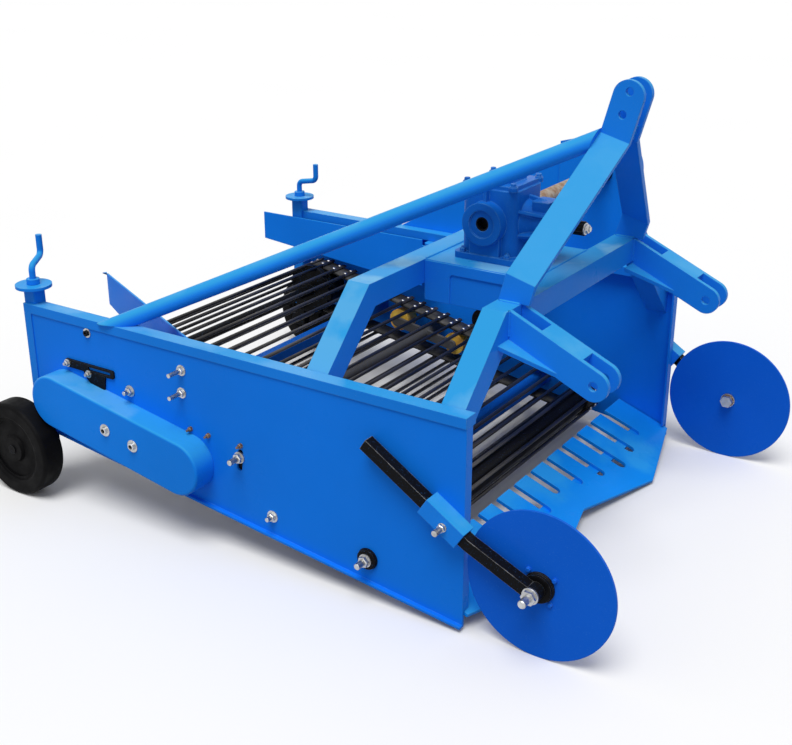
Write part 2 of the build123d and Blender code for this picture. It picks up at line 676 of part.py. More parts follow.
# --- Rollers and shafts under the web -------------------------------------------------------------
with BuildPart() as front_roller:
    with BuildSketch(upright(0)):
        with Locations(FRONT_ROLLER):
            Circle(FRONT_DRUM)
    extrude(amount=belt_y + BELT_WIDTH / 2, both=True)
    with BuildSketch(upright(0)):
        with Locations(FRONT_ROLLER):
            Circle(SHAFT / 2)
    extrude(amount=HALF_WIDTH, both=True)
save(front_roller, "front_roller")

with BuildPart() as drive_shaft:
    with BuildSketch(upright(0)):
        with Locations(DRIVE_SHAFT):
            Circle(SHAFT / 2)
    extrude(amount=HALF_WIDTH, both=True)
    with BuildSketch(upright(belt_y), upright(-belt_y)):
        with Locations(DRIVE_SHAFT):
            Circle(DRIVE_DRUM)
    extrude(amount=DRUM_WIDTH / 2, both=True)
    # Toothed wheels beside the belts, set so that a rod lies in each gap.
    tooth_wheel_y = belt_y - BELT_WIDTH / 2 - TOOTH_WHEEL_INSET
    gap_ring = DRIVE_DRUM + rod_rise
    rearmost = min(rod_places, key=lambda place: place.X) - Vector(*DRIVE_SHAFT)
    first_gap = degrees(atan2(rearmost.Y, rearmost.X))
    with BuildSketch(upright(tooth_wheel_y), upright(-tooth_wheel_y)):
        with Locations(DRIVE_SHAFT):
            Circle(gap_ring + ROD / 4)
            with PolarLocations(gap_ring, DRIVE_TEETH, start_angle=first_gap):
                Circle(ROD / 2 + TOOTH_PLAY, mode=Mode.SUBTRACT)
    extrude(amount=TOOTH_WHEEL / 2, both=True)
save(drive_shaft, "drive_shaft")

# Two rollers at each side ride on a rocker arm and lift the belt as the shaft swings them.
rocker = Plane(
    origin=(SHAKER_SHAFT[0], 0, SHAKER_SHAFT[1]),
    x_dir=(rearward.X, 0, rearward.Y),
    z_dir=(0, 1, 0),
)
rocker_arm_y = belt_y - BELT_WIDTH / 2 - SHAKER_ARM_PLATE
pin_length = BELT_WIDTH + SHAKER_ARM_PLATE
with BuildPart() as shaker_shaft:
    with BuildSketch(rocker):
        Circle(SHAFT / 2)
    extrude(amount=HALF_WIDTH, both=True)
    with BuildSketch(rocker.offset(rocker_arm_y), rocker.offset(-rocker_arm_y)):
        SlotCenterToCenter(2 * SHAKER_THROW, SHAKER_ARM)
    extrude(amount=SHAKER_ARM_PLATE / 2, both=True)
    with BuildSketch(rocker.offset(rocker_arm_y), rocker.offset(-rocker_arm_y - pin_length)):
        with Locations((SHAKER_THROW, 0), (-SHAKER_THROW, 0)):
            Circle(SHAKER_PIN / 2)
    extrude(amount=pin_length)
save(shaker_shaft, "shaker_shaft")

with BuildPart() as shaker_rollers:
    with BuildSketch(rocker.offset(belt_y), rocker.offset(-belt_y)):
        with Locations((SHAKER_THROW, 0), (-SHAKER_THROW, 0)):
            Circle(SHAKER_ROLLER / 2)
            Circle(SHAKER_PIN / 2 + SHAKER_FIT, mode=Mode.SUBTRACT)
    extrude(amount=BELT_WIDTH / 2 - SHAKER_MARGIN, both=True)
save(shaker_rollers, "shaker_rollers")

for label, place in zip(("front_cross_tube", "rear_cross_tube"), (FRONT_TUBE, REAR_TUBE)):
    with BuildPart() as cross_tube:
        with BuildSketch(upright(0)):
            with Locations(place):
                RectangleRounded(CROSS_TUBE, CROSS_TUBE, CROSS_TUBE_CORNER)
        extrude(amount=INNER, both=True)
    save(cross_tube, label)

# --- Gearbox and drive ------------------------------------------------------------------------
# The housing is one casting: a foot, a box with a hub at each flank, a ribbed neck forward to
# its flange, and a stepped cover with a lug at each bolt.
def across_box(height):
    """The level plane at this height above the gearbox base."""
    return Plane.XY.offset(ARCH_TOP + height)


housing_height = SHAFT_RISE + HOUSING_RISE - ARCH_TOP
with BuildPart() as gearbox:
    with BuildSketch(across_box(0)):
        with Locations((GEARBOX_X, 0)):
            RectangleRounded(FOOT_SIZE[0], FOOT_SIZE[1], FOOT_CORNER)
    extrude(amount=FOOT_SIZE[2])
    with BuildSketch(across_box(FOOT_SIZE[2])):
        with Locations((GEARBOX_X, 0)):
            RectangleRounded(*HOUSING_SIZE, HOUSING_CORNER)
    extrude(amount=housing_height - FOOT_SIZE[2])
    # A pedestal carries each hub down to the foot.
    with BuildSketch(upright(0)):
        with Locations((GEARBOX_X, SHAFT_RISE)):
            Circle(HUB_RADIUS - PEDESTAL_NARROW)
        with Locations((GEARBOX_X, (ARCH_TOP + SHAFT_RISE) / 2)):
            Rectangle(2 * (HUB_RADIUS - 2 * PEDESTAL_NARROW), SHAFT_RISE - ARCH_TOP)
    extrude(amount=FOOT_SIZE[1] / 2 - PEDESTAL_INSET, both=True)
    with BuildSketch(upright(0)):
        with Locations((GEARBOX_X, SHAFT_RISE)):
            Circle(HUB_RADIUS)
    extrude(amount=HUB_HALF, both=True)
    with BuildSketch(across_box(housing_height)):
        with Locations((GEARBOX_X, 0)):
            RectangleRounded(COVER_SIZE[0], COVER_SIZE[1], COVER_CORNER)
            with GridLocations(COVER_SIZE[0] - COVER_LUG, COVER_SIZE[1] - COVER_LUG, 2, 2):
                Circle(COVER_LUG)
    extrude(amount=COVER_SIZE[2])
    with BuildSketch(across_box(housing_height + COVER_SIZE[2])):
        with Locations((GEARBOX_X, 0)):
            RectangleRounded(COVER_TOP_SIZE[0], COVER_TOP_SIZE[1], COVER_CORNER)
    extrude(amount=COVER_TOP_SIZE[2], taper=COVER_DRAFT)
    # The neck is turned about the input axis; the profile's x is forward and its y outward.
    with BuildSketch(Plane(origin=(GEARBOX_X, 0, SHAFT_RISE), x_dir=(1, 0, 0), z_dir=(0, -1, 0))):
        Polygon(
            (0, 0),
            (0, NECK_ROOT_RADIUS),
            (NECK_ROOT, NECK_ROOT_RADIUS),
            (NECK_WAIST, NECK_RADIUS),
            (NECK_END, NECK_RADIUS),
            (NECK_END, FLANGE_RADIUS),
            (NECK_END + FLANGE_PLATE, FLANGE_RADIUS),
            (NECK_END + FLANGE_PLATE, SEAL_RADIUS),
            (NECK_END + FLANGE_PLATE + SEAL_DEEP, SEAL_RADIUS),
            (NECK_END + FLANGE_PLATE + SEAL_DEEP, 0),
        )
    revolve(axis=Axis((GEARBOX_X, 0, SHAFT_RISE), (1, 0, 0)))
    for number in range(NECK_RIBS):
        spin = Axis((GEARBOX_X, 0, SHAFT_RISE), (1, 0, 0))
        rib_plane = Plane(
            origin=(GEARBOX_X, 0, SHAFT_RISE),
            x_dir=(1, 0, 0),
            z_dir=Vector(0, -1, 0).rotate(spin, 360 * number / NECK_RIBS),
        )
        with BuildSketch(rib_plane):
            Polygon(
                (NECK_ROOT, NECK_RADIUS / 2),
                (NECK_ROOT, NECK_ROOT_RADIUS + NECK_RIB_PROUD),
                (NECK_END, NECK_RADIUS + RIB),
                (NECK_END, NECK_RADIUS / 2),
            )
        extrude(amount=RIB / 2, both=True)
    with BuildSketch(Plane.XY.offset(SHAFT_RISE + NECK_RADIUS / 2)):
        with Locations((GEARBOX_X + (NECK_WAIST + NECK_END) / 2 - PAD_BACK, 0)):
            RectangleRounded(PAD_SIZE[0], PAD_SIZE[1], PAD_CORNER)
    extrude(amount=PAD_SIZE[2])
    # A rib stands over each hub, up to the cover.
    with BuildSketch(upright(0)):
        with Locations((GEARBOX_X, SHAFT_RISE + HUB_RADIUS)):
            Rectangle(RIB, 2 * (HOUSING_RISE - HUB_RADIUS))
    extrude(amount=HUB_HALF - RIB_BACK, both=True)
    for face_y in (-HUB_HALF, HUB_HALF):
        with BuildSketch(upright(face_y)):
            with Locations((GEARBOX_X, SHAFT_RISE)):
                Circle(HUB_RING)
        extrude(amount=HUB_RING_DEEP, both=True, mode=Mode.SUBTRACT)
        with BuildSketch(upright(face_y)):
            with Locations((GEARBOX_X, SHAFT_RISE)):
                Circle(SHAFT / 2 + SHAFT_FIT)
        extrude(amount=BORE_DEEP, both=True, mode=Mode.SUBTRACT)
save(gearbox, "gearbox")

shaft_from = NECK_END + FLANGE_PLATE + SEAL_DEEP
with BuildPart() as pto_shaft:
    with BuildSketch(Plane.YZ.offset(GEARBOX_X + shaft_from)):
        with Locations((0, SHAFT_RISE)):
            Circle(SHAFT / 2)
            with PolarLocations(SHAFT / 2, PTO_SPLINES):
                Rectangle(2 * SPLINE_DEEP, SPLINE_WIDTH, mode=Mode.SUBTRACT)
    extrude(amount=PTO_REACH - shaft_from)
save(pto_shaft, "pto_shaft")

with BuildPart() as output_shaft:
    with BuildSketch(upright(HUB_HALF - BORE_DEEP)):
        with Locations((GEARBOX_X, SHAFT_RISE)):
            Circle(SHAFT / 2)
    extrude(amount=-(INNER - HUB_HALF + BORE_DEEP))
save(output_shaft, "output_shaft")

with BuildPart() as drive_plate:
    with BuildSketch(upright(HALF_WIDTH - SHEET / 2)):
        with Locations((GEARBOX_X, SHAFT_RISE)):
            Circle(HEAD_RADIUS)
        Polygon(
            (GEARBOX_X + DRIVE_PLATE_FRONT, 0),
            (GEARBOX_X + HEAD_RADIUS, SHAFT_RISE),
            (GEARBOX_X, SHAFT_RISE + HEAD_RADIUS),
            (GEARBOX_X + DRIVE_PLATE_SHOULDER, SHAFT_RISE + HEAD_RADIUS),
            (GEARBOX_X + DRIVE_PLATE_REAR, SHAFT_RISE + DRIVE_PLATE_REAR_RISE),
            (GEARBOX_X + DRIVE_PLATE_REAR, 0),
        )
    extrude(amount=SHEET / 2, both=True)
save(drive_plate, "drive_plate")

with BuildPart() as drive_bearing:
    with BuildSketch(upright(INNER)):
        with Locations((GEARBOX_X, SHAFT_RISE)):
            Circle(BEARING_RADIUS)
            Circle(SHAFT / 2 + SHAFT_FIT, mode=Mode.SUBTRACT)
    extrude(amount=BEARING_DEEP)
save(drive_bearing, "drive_bearing")

with BuildPart() as right_chain_case:
    with BuildSketch(upright(-HALF_WIDTH)):
        hull_of((*DRIVE_SHAFT, CASE_RADIUS), (*SHAKER_SHAFT, CASE_RADIUS))
    extrude(amount=CASE_WIDTH)
    fillet(right_chain_case.faces().sort_by(Axis.Y)[0].edges(), CASE_EDGE)
save(right_chain_case, "right_chain_case")

with BuildPart() as left_chain_case:
    with BuildSketch(upright(HALF_WIDTH)):
        hull_of((GEARBOX_X, SHAFT_RISE, HEAD_RADIUS), (*DRIVE_SHAFT, CASE_RADIUS))
    extrude(amount=-CASE_WIDTH)
    fillet(left_chain_case.faces().sort_by(Axis.Y)[-1].edges(), CASE_EDGE)
    with BuildSketch(upright(HALF_WIDTH)):
        Polygon((0, 0), (DRIVE_SHAFT[0], 0), (DRIVE_SHAFT[0], -RAIL_DEPTH), (0, -RAIL_DEPTH))
    extrude(amount=-RAIL_PROUD, mode=Mode.SUBTRACT)
save(left_chain_case, "left_chain_case")

with BuildPart() as case_bracket:
    bracket_place = (DRIVE_SHAFT[0] + BRACKET_OFFSET[0], DRIVE_SHAFT[1] + BRACKET_OFFSET[1])
    with BuildSketch(upright(-HALF_WIDTH)):
        with Locations(Location(bracket_place, BRACKET_LEAN)):
            Rectangle(BRACKET[0], BRACKET[1])
            SlotOverall(*BRACKET_SLOT, mode=Mode.SUBTRACT)
    extrude(amount=BRACKET[2])
save(case_bracket, "case_bracket")

# --- Discs ----------------------------------------------------------------------------
disc_arm_y = HALF_WIDTH + SLEEVE / 2
arm_run = Vector(ARM_ELBOW[0] - ARM_REAR[0], ARM_ELBOW[1] - ARM_REAR[1]).normalized()
for side, sign in SIDES.items():
    disc_place = (DISC_X, DISC_Z)
    with BuildPart() as sleeve:
        sleeve_middle = Vector(*ARM_ELBOW) - arm_run * (SLEEVE_LENGTH / 2 + SLEEVE_BACK)
        along_arm = Location((sleeve_middle.X, sleeve_middle.Y), degrees(atan2(arm_run.Y, arm_run.X)))
        with BuildSketch(upright(sign * disc_arm_y)):
            with Locations(along_arm):
                Rectangle(SLEEVE_LENGTH, SLEEVE)
        extrude(amount=SLEEVE / 2, both=True)
        with BuildSketch(upright(sign * disc_arm_y)):
            with Locations(along_arm):
                Rectangle(2 * SLEEVE_LENGTH, ARM_BAR + 2 * SLEEVE_FIT)
        extrude(amount=ARM_BAR / 2 + SLEEVE_FIT, both=True, mode=Mode.SUBTRACT)
    save(sleeve, f"{side}_disc_sleeve")

    with BuildPart() as disc_arm:
        with BuildSketch(upright(sign * disc_arm_y)):
            with BuildLine():
                Polyline(ARM_REAR, ARM_ELBOW, disc_place)
            trace(line_width=ARM_BAR)
            with Locations(disc_place):
                Circle(ARM_EYE)
                Circle(AXLE_BOLT / 2, mode=Mode.SUBTRACT)
        extrude(amount=ARM_BAR / 2, both=True)
    save(disc_arm, f"{side}_disc_arm")

    with BuildPart() as cutting_disc:
        with BuildSketch(upright(sign * DISC_Y)):
            with Locations(disc_place):
                Circle(DISC_RADIUS)
        extrude(amount=DISC_PLATE / 2, both=True)
        hub_depth = disc_arm_y - ARM_BAR / 2 - DISC_Y - DISC_PLAY
        with BuildSketch(upright(sign * (DISC_Y + hub_depth / 2))):
            with Locations(disc_place):
                Circle(DISC_HUB)
        extrude(amount=hub_depth / 2, both=True)
        with BuildSketch(upright(sign * DISC_Y)):
            with Locations(disc_place):
                Circle(AXLE_BOLT / 2 + AXLE_CLEARANCE)
        extrude(amount=hub_depth + DISC_PLATE, both=True, mode=Mode.SUBTRACT)
    save(cutting_disc, f"{side}_cutting_disc")

    with BuildPart() as disc_axle:
        washer_face = DISC_Y - DISC_PLATE / 2 - WASHER_GAP
        inner_end = washer_face - WASHER - INNER_NUT
        outer_end = disc_arm_y + ARM_BAR / 2 + NUT + 1
        with BuildSketch(upright(sign * (inner_end + outer_end) / 2)):
            with Locations(disc_place):
                Circle(AXLE_BOLT / 2)
        extrude(amount=(outer_end - inner_end) / 2, both=True)
        with BuildSketch(upright(sign * (outer_end - NUT / 2))):
            with Locations(disc_place):
                RegularPolygon(NUT_RADIUS, 6, major_radius=False)
        extrude(amount=NUT / 2, both=True)
        with BuildSketch(upright(sign * (washer_face - WASHER / 2))):
            with Locations(disc_place):
                Circle(WASHER_RADIUS)
        extrude(amount=WASHER / 2, both=True)
        with BuildSketch(upright(sign * (inner_end + INNER_NUT / 2))):
            with Locations(disc_place):
                RegularPolygon(NUT_RADIUS, 6, major_radius=False)
        extrude(amount=INNER_NUT / 2, both=True)
    save(disc_axle, f"{side}_disc_axle")

# --- Wheels ---------------------------------------------------------------------------
for side, sign in SIDES.items():
    wheel_place = (WHEEL_X, WHEEL_Z)
    post_y = INNER - POST / 2
    axle_end = WHEEL_Y + WHEEL_WIDTH / 2 - AXLE_INSET
    with BuildPart() as leg:
        leg_foot = WHEEL_Z - LEG_BELOW_AXLE
        with BuildSketch(Plane.XY.offset(leg_foot)):
            with Locations((POST_X, sign * post_y)):
                Rectangle(LEG_BAR, LEG_BAR)
        extrude(amount=LEG_TOP - leg_foot)
        bore_foot = WHEEL_Z + LEG_SOLID
        with BuildSketch(Plane.XY.offset(bore_foot)):
            with Locations((POST_X, sign * post_y)):
                Rectangle(LEG_BAR - 2 * LEG_WALL, LEG_BAR - 2 * LEG_WALL)
        extrude(amount=LEG_TOP - bore_foot, mode=Mode.SUBTRACT)
        with BuildSketch(upright(sign * post_y)):
            with Locations(wheel_place):
                Rectangle(AXLE_BLOCK, 2 * LEG_BELOW_AXLE)
        extrude(amount=LEG_BAR / 2, both=True)
        with BuildSketch(upright(sign * (post_y + axle_end) / 2)):
            with Locations(wheel_place):
                Circle(STUB_AXLE / 2)
        extrude(amount=(axle_end - post_y) / 2, both=True)
    save(leg, f"{side}_wheel_leg")

    wheel_axis = Plane(origin=(WHEEL_X, sign * WHEEL_Y, WHEEL_Z), x_dir=(1, 0, 0), z_dir=(0, 0, 1))
    with BuildPart() as tyre:
        with BuildSketch(wheel_axis):
            with Locations(((WHEEL_RADIUS + TYRE_INNER) / 2, 0)):
                RectangleRounded(WHEEL_RADIUS - TYRE_INNER, WHEEL_WIDTH, TYRE_EDGE)
        revolve(axis=Axis((WHEEL_X, 0, WHEEL_Z), (0, 1, 0)))
    save(tyre, f"{side}_tyre")

    with BuildPart() as wheel_hub:
        with BuildSketch(wheel_axis):
            half = [
                (STUB_AXLE / 2 + AXLE_CLEARANCE, HUB_FACE),
                (HUB_BOSS, HUB_FACE),
                (HUB_BOSS + HUB_BOSS_SLOPE, WEB_FACE),
                (TYRE_INNER - RIM_WALL, WEB_FACE),
                (TYRE_INNER - RIM_WALL, RIM_FACE),
                (TYRE_INNER, RIM_FACE),
            ]
            Polygon(*half, *((radius, -face) for radius, face in reversed(half)))
        revolve(axis=Axis((WHEEL_X, 0, WHEEL_Z), (0, 1, 0)))
    save(wheel_hub, f"{side}_wheel_hub")

# --- Deflector boards ----------------------------------------------------------------------------
KNUCKLE_TOP = LUG_TOP - LUG - KNUCKLE_GAP
KNUCKLE_BOTTOM = LUG_BOTTOM + LUG + KNUCKLE_GAP
knuckle_weld = (KNUCKLE + HINGE_PIN) / 4  # the board's edge ends inside the knuckle's wall
rods_top = DRIVE_SHAFT[1] + DRIVE_DRUM + rod_rise + ROD / 2


def board_bottom(along):
    """Height of a board's bottom edge, this far from its hinge."""
    return rods_top + BOARD_OVER_WEB + (along - BOARD_HINGE_X + DRIVE_SHAFT[0]) * BOARD_EDGE_RISE


for side, sign in SIDES.items():
    swing = sign * BOARD_SWING[side]
    pin = Vector(BOARD_HINGE_X, sign * BOARD_Y, 0)
    with BuildPart() as hinge:
        with BuildSketch(Plane.XY.offset(LUG_TOP), Plane.XY.offset(LUG_BOTTOM + LUG)):
            with Locations((pin.X, sign * (BOARD_Y + INNER) / 2)):
                Rectangle(2 * LUG_RADIUS, INNER - BOARD_Y)
            with Locations((pin.X, pin.Y)):
                Circle(LUG_RADIUS)
        extrude(amount=-LUG)
        with BuildSketch(Plane.XY.offset(LUG_BOTTOM)):
            with Locations((pin.X, pin.Y)):
                Circle(HINGE_PIN / 2)
        extrude(amount=LUG_TOP - LUG_BOTTOM)
    save(hinge, f"{side}_board_hinge")

    board_plane = Plane(
        origin=(pin.X, pin.Y, 0),
        x_dir=Vector(-1, 0, 0).rotate(Axis.Z, swing),
        z_dir=Vector(0, 1, 0).rotate(Axis.Z, swing),
    )
    with BuildPart() as board:
        with BuildSketch(board_plane):
            Polygon(
                (knuckle_weld, KNUCKLE_TOP),
                (BOARD_START, KNUCKLE_TOP),
                (BOARD_START, BOARD_TOP),
                (BOARD_LENGTH, BOARD_TOP),
                (BOARD_LENGTH, board_bottom(BOARD_LENGTH)),
                (BOARD_START, board_bottom(BOARD_START)),
                (BOARD_START, KNUCKLE_BOTTOM),
                (knuckle_weld, KNUCKLE_BOTTOM),
            )
        extrude(amount=BOARD_PLATE / 2, both=True)
        with BuildSketch(Plane.XY.offset(KNUCKLE_BOTTOM)):
            with Locations((pin.X, pin.Y)):
                Circle(KNUCKLE / 2)
                Circle(HINGE_PIN / 2 + HINGE_FIT, mode=Mode.SUBTRACT)
        extrude(amount=KNUCKLE_TOP - KNUCKLE_BOTTOM)
    save(board, f"{side}_board")
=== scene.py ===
import json
from math import asin, cos, pi, radians, sin, sqrt

import bmesh
import bpy
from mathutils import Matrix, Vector


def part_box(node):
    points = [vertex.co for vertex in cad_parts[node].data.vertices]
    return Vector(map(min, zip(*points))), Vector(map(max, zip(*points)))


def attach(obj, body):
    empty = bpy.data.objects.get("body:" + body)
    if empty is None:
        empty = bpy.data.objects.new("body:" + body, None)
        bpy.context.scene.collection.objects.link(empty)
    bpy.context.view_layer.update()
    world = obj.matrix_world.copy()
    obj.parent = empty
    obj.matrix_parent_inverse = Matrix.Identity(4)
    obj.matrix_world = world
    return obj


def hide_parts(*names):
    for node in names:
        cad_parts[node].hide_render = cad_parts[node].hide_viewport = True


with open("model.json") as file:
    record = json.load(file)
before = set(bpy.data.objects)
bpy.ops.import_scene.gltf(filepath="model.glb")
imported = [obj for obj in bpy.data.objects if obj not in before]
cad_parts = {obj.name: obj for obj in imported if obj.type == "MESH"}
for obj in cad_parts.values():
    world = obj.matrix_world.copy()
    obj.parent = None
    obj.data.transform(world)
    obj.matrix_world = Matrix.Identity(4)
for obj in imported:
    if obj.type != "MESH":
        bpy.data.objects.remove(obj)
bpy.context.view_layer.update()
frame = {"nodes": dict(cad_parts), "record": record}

# --- Side plates ----------------------------------------------------------------------------------
# Two 6 mm sheets of mild steel, cut and folded along the bottom and front edges, that carry the
# web's rollers and shafts. They are sprayed with blue enamel, which leaves a faint orange peel,
# and each edge is painted paler, as scuffed paint and a painted edge highlight.


def put(tree, socket, value):
    """Feeds an input from an output socket, from each of a list of them, or with a plain value."""
    for source in value if isinstance(value, list) else [value]:
        if isinstance(source, bpy.types.NodeSocket):
            tree.links.new(source, socket)
        else:
            socket.default_value = source


def fill(tree, node, **inputs):
    """Feeds a node's inputs by name, with an underscore for each space; gives the node."""
    for label, value in inputs.items():
        put(tree, node.inputs[label.replace("_", " ")], value)
    return node


def made(tree, kind, settings=(), **inputs):
    """Adds a node of a kind, with its settings and its inputs; gives the node."""
    node = tree.nodes.new(kind)
    for name, value in dict(settings).items():
        setattr(node, name, value)
    return fill(tree, node, **inputs)


def in_order(tree, node, *values):
    """Feeds a node's inputs from the first one on; gives the node."""
    for socket, value in zip(node.inputs, values):
        put(tree, socket, value)
    return node


def maths(tree, operation, *values):
    """The result of a math node on sockets or numbers."""
    node = made(tree, "ShaderNodeMath", {"operation": operation})
    return in_order(tree, node, *values).outputs[0]


def on_vectors(tree, operation, *values):
    """A vector math node on sockets or vectors; gives the node, for its Vector or its Value."""
    return in_order(tree, made(tree, "ShaderNodeVectorMath", {"operation": operation}), *values)


def mixed(tree, factor, first, second):
    """A mix of two colours, which may be sockets or plain values."""
    node = made(tree, "ShaderNodeMix", {"data_type": "RGBA"})
    for place, value in ((0, factor), (6, first), (7, second)):
        put(tree, node.inputs[place], value)
    return node.outputs[2]


def between(tree, value, low, high, to_low=0.0, to_high=1.0):
    """Maps a value's range onto another, clamped."""
    node = made(tree, "ShaderNodeMapRange", Value=value, From_Min=low, From_Max=high)
    return fill(tree, node, To_Min=to_low, To_Max=to_high).outputs["Result"]


def grain(tree, scale, detail=3.0, stretch=(1, 1, 1)):
    """Noise over the piece, in object coordinates; scale counts its cells in a metre."""
    where = made(tree, "ShaderNodeTexCoord").outputs["Object"]
    laid = made(tree, "ShaderNodeMapping", Vector=where, Scale=stretch).outputs["Vector"]
    return made(tree, "ShaderNodeTexNoise", Vector=laid, Scale=scale, Detail=detail).outputs["Fac"]


def effect(name, inputs, outputs):
    """An empty shader node group with named sockets."""
    tree = bpy.data.node_groups.new(name, "ShaderNodeTree")
    for label, kind, value in inputs:
        tree.interface.new_socket(label, in_out="INPUT", socket_type=kind).default_value = value
    for label, kind in outputs:
        tree.interface.new_socket(label, in_out="OUTPUT", socket_type=kind)
    return tree, tree.nodes.new("NodeGroupInput"), tree.nodes.new("NodeGroupOutput")


# Paler edges, as scuffed paint and a painted highlight: where a rounded normal leaves the flat one,
# broken up by noise.
edge_wear, wear_in, wear_out = effect(
    "edge wear",
    (("Width", "NodeSocketFloat", 0.002), ("Amount", "NodeSocketFloat", 0.6)),
    (("Mask", "NodeSocketFloat"), ("Rounded", "NodeSocketVector")),
)
rounded = made(
    edge_wear, "ShaderNodeBevel", {"samples": 4}, Radius=wear_in.outputs["Width"]
).outputs[0]
flat_normal = made(edge_wear, "ShaderNodeNewGeometry").outputs["Normal"]
agreement = on_vectors(edge_wear, "DOT_PRODUCT", rounded, flat_normal).outputs["Value"]
off_flat = between(edge_wear, agreement, 0.995, 0.8)
patchy = between(edge_wear, grain(edge_wear, 38), 0.42, 0.62, 0.25, 1.0)
worn_and_lit = maths(edge_wear, "MULTIPLY", off_flat, patchy)
worn_and_lit = maths(edge_wear, "MULTIPLY", worn_and_lit, wear_in.outputs["Amount"])
fill(edge_wear, wear_out, Mask=worn_and_lit, Rounded=rounded)

# Sprayed coat: drifts of tone, fine dust in the film and orange peel.
sprayed, coat_in, coat_out = effect(
    "sprayed coat",
    (
        ("Paint", "NodeSocketColor", (0.01, 0.16, 0.66, 1)),
        ("Tone", "NodeSocketFloat", 0.25),
        ("Peel", "NodeSocketFloat", 0.25),
        ("Peel Scale", "NodeSocketFloat", 230.0),
        ("Rounded", "NodeSocketVector", (0, 0, 1)),
    ),
    (
        ("Color", "NodeSocketColor"),
        ("Roughness", "NodeSocketFloat"),
        ("Normal", "NodeSocketVector"),
    ),
)
coat = coat_in.outputs
drift = between(sprayed, grain(sprayed, 2.6, 4), 0.3, 0.7, -0.5, 0.5)
shade = maths(sprayed, "MULTIPLY_ADD", drift, coat["Tone"], 1.0)
toned = fill(sprayed, on_vectors(sprayed, "SCALE", coat["Paint"]), Scale=shade).outputs["Vector"]
specks = between(sprayed, grain(sprayed, 420, 2), 0.66, 0.74, 0.0, 0.35)
peel = made(
    sprayed, "ShaderNodeBump", Distance=0.0006, Strength=coat["Peel"], Normal=coat["Rounded"],
    Height=grain(sprayed, coat["Peel Scale"], 2.0),
)
fill(
    sprayed, coat_out,
    Color=mixed(sprayed, specks, toned, (0.10, 0.34, 0.78, 1)),
    Roughness=between(sprayed, grain(sprayed, 9, 5), 0.3, 0.7, 0.26, 0.42),
    Normal=peel.outputs["Normal"],
)


def new_finish(name, **inputs):
    """A material, its node tree and its shader, with plain values on the shader's inputs."""
    finish = bpy.data.materials.new(name)
    finish.use_nodes = True
    tree = finish.node_tree
    return finish, tree, fill(tree, tree.nodes["Principled BSDF"], **inputs)


def enamel(
    name, paint, worn_and_lit_to=(0.12, 0.42, 0.85), tone=0.25, peel=0.22, peel_scale=230, width=0.0022,
    wear=0.6, shine=0.05,
):
    """Sprayed enamel over steel; its edges are painted paler, as scuffed paint and a painted
    highlight.
    """
    finish, tree, shader = new_finish(name, Specular_IOR_Level=shine)
    edges = made(tree, "ShaderNodeGroup", {"node_tree": edge_wear}, Width=width, Amount=wear)
    film = made(
        tree, "ShaderNodeGroup", {"node_tree": sprayed}, Paint=(*paint, 1), Tone=tone, Peel=peel,
        Peel_Scale=peel_scale, Rounded=edges.outputs["Rounded"],
    )
    colour = mixed(tree, edges.outputs["Mask"], film.outputs["Color"], (*worn_and_lit_to, 1))
    fill(
        tree, shader, Base_Color=colour, Roughness=film.outputs["Roughness"],
        Normal=film.outputs["Normal"],
    )
    return finish


def give(finish, *nodes):
    """Puts a finish on CAD nodes."""
    for node in nodes:
        slots = frame["nodes"][node].data.materials
        slots.clear()
        slots.append(finish)


SIDES = {"left": 1, "right": -1}


def both(*names):
    """The names of the left and the right piece, for each name."""
    return [f"{side}_{name}" for side in SIDES for name in names]


plate_blue = enamel("plate enamel", (0.006, 0.206, 0.88), tone=0.12)
give(plate_blue, *both("side_plate"))

# --- Rails, rear posts and cranks -----------------------------------------------------------------
# A 40 by 25 mm bar runs along the top of each plate, and its outer flank turns down the plate's
# rear edge. A square tube inside the plate holds the wheel's leg, and a bent rod with a screw on
# its lower end winds that leg up and down.

# Painted sky sheen: how far a face looks up, and pale blotches of painted reflection on the faces
# that look up most.
painted_sheen, sheen_in, sheen_out = effect(
    "rubbed tops",
    (("Spread", "NodeSocketFloat", 5.0), ("Amount", "NodeSocketFloat", 0.6)),
    (("Mask", "NodeSocketFloat"), ("Upward", "NodeSocketFloat")),
)
face_normal = made(painted_sheen, "ShaderNodeNewGeometry").outputs["Normal"]
height = made(painted_sheen, "ShaderNodeSeparateXYZ", Vector=face_normal).outputs["Z"]
sheen_patches = between(painted_sheen, grain(painted_sheen, sheen_in.outputs["Spread"], 5.0), 0.50, 0.60)
sheen_on_tops = maths(painted_sheen, "MULTIPLY", between(painted_sheen, height, 0.55, 0.9), sheen_patches)
fill(
    painted_sheen, sheen_out,
    Mask=maths(painted_sheen, "MULTIPLY", sheen_on_tops, sheen_in.outputs["Amount"]),
    Upward=between(painted_sheen, height, 0.15, 0.65),
)


def paint_over(finish, mask, colour):
    """Mixes a colour over what a finish shows, as far as the mask says."""
    tree = finish.node_tree
    shown = tree.nodes["Principled BSDF"].inputs["Base Color"]
    put(tree, shown, mixed(tree, mask, shown.links[0].from_socket, (*colour, 1)))


# The pale blue painted over faces that look up, as painted reflection of the sky.
SKY_SHEEN_COLOUR = (0.035, 0.37, 0.72)


def sheen_enamel(
    name, paint, spread=5.0, amount=0.6, sheen_to=(0.22, 0.52, 0.86), sky_sheen=0.0, **how
):
    """Enamel whose upward faces are painted paler and carry pale blotches, as painted sky
    reflection.
    """
    finish = enamel(name, paint, **how)
    tree = finish.node_tree
    sheen_group = made(tree, "ShaderNodeGroup", {"node_tree": painted_sheen}, Spread=spread, Amount=amount)
    if sky_sheen:
        paint_over(finish, maths(tree, "MULTIPLY", sheen_group.outputs["Upward"], sky_sheen), SKY_SHEEN_COLOUR)
    paint_over(finish, sheen_group.outputs["Mask"], sheen_to)
    return finish


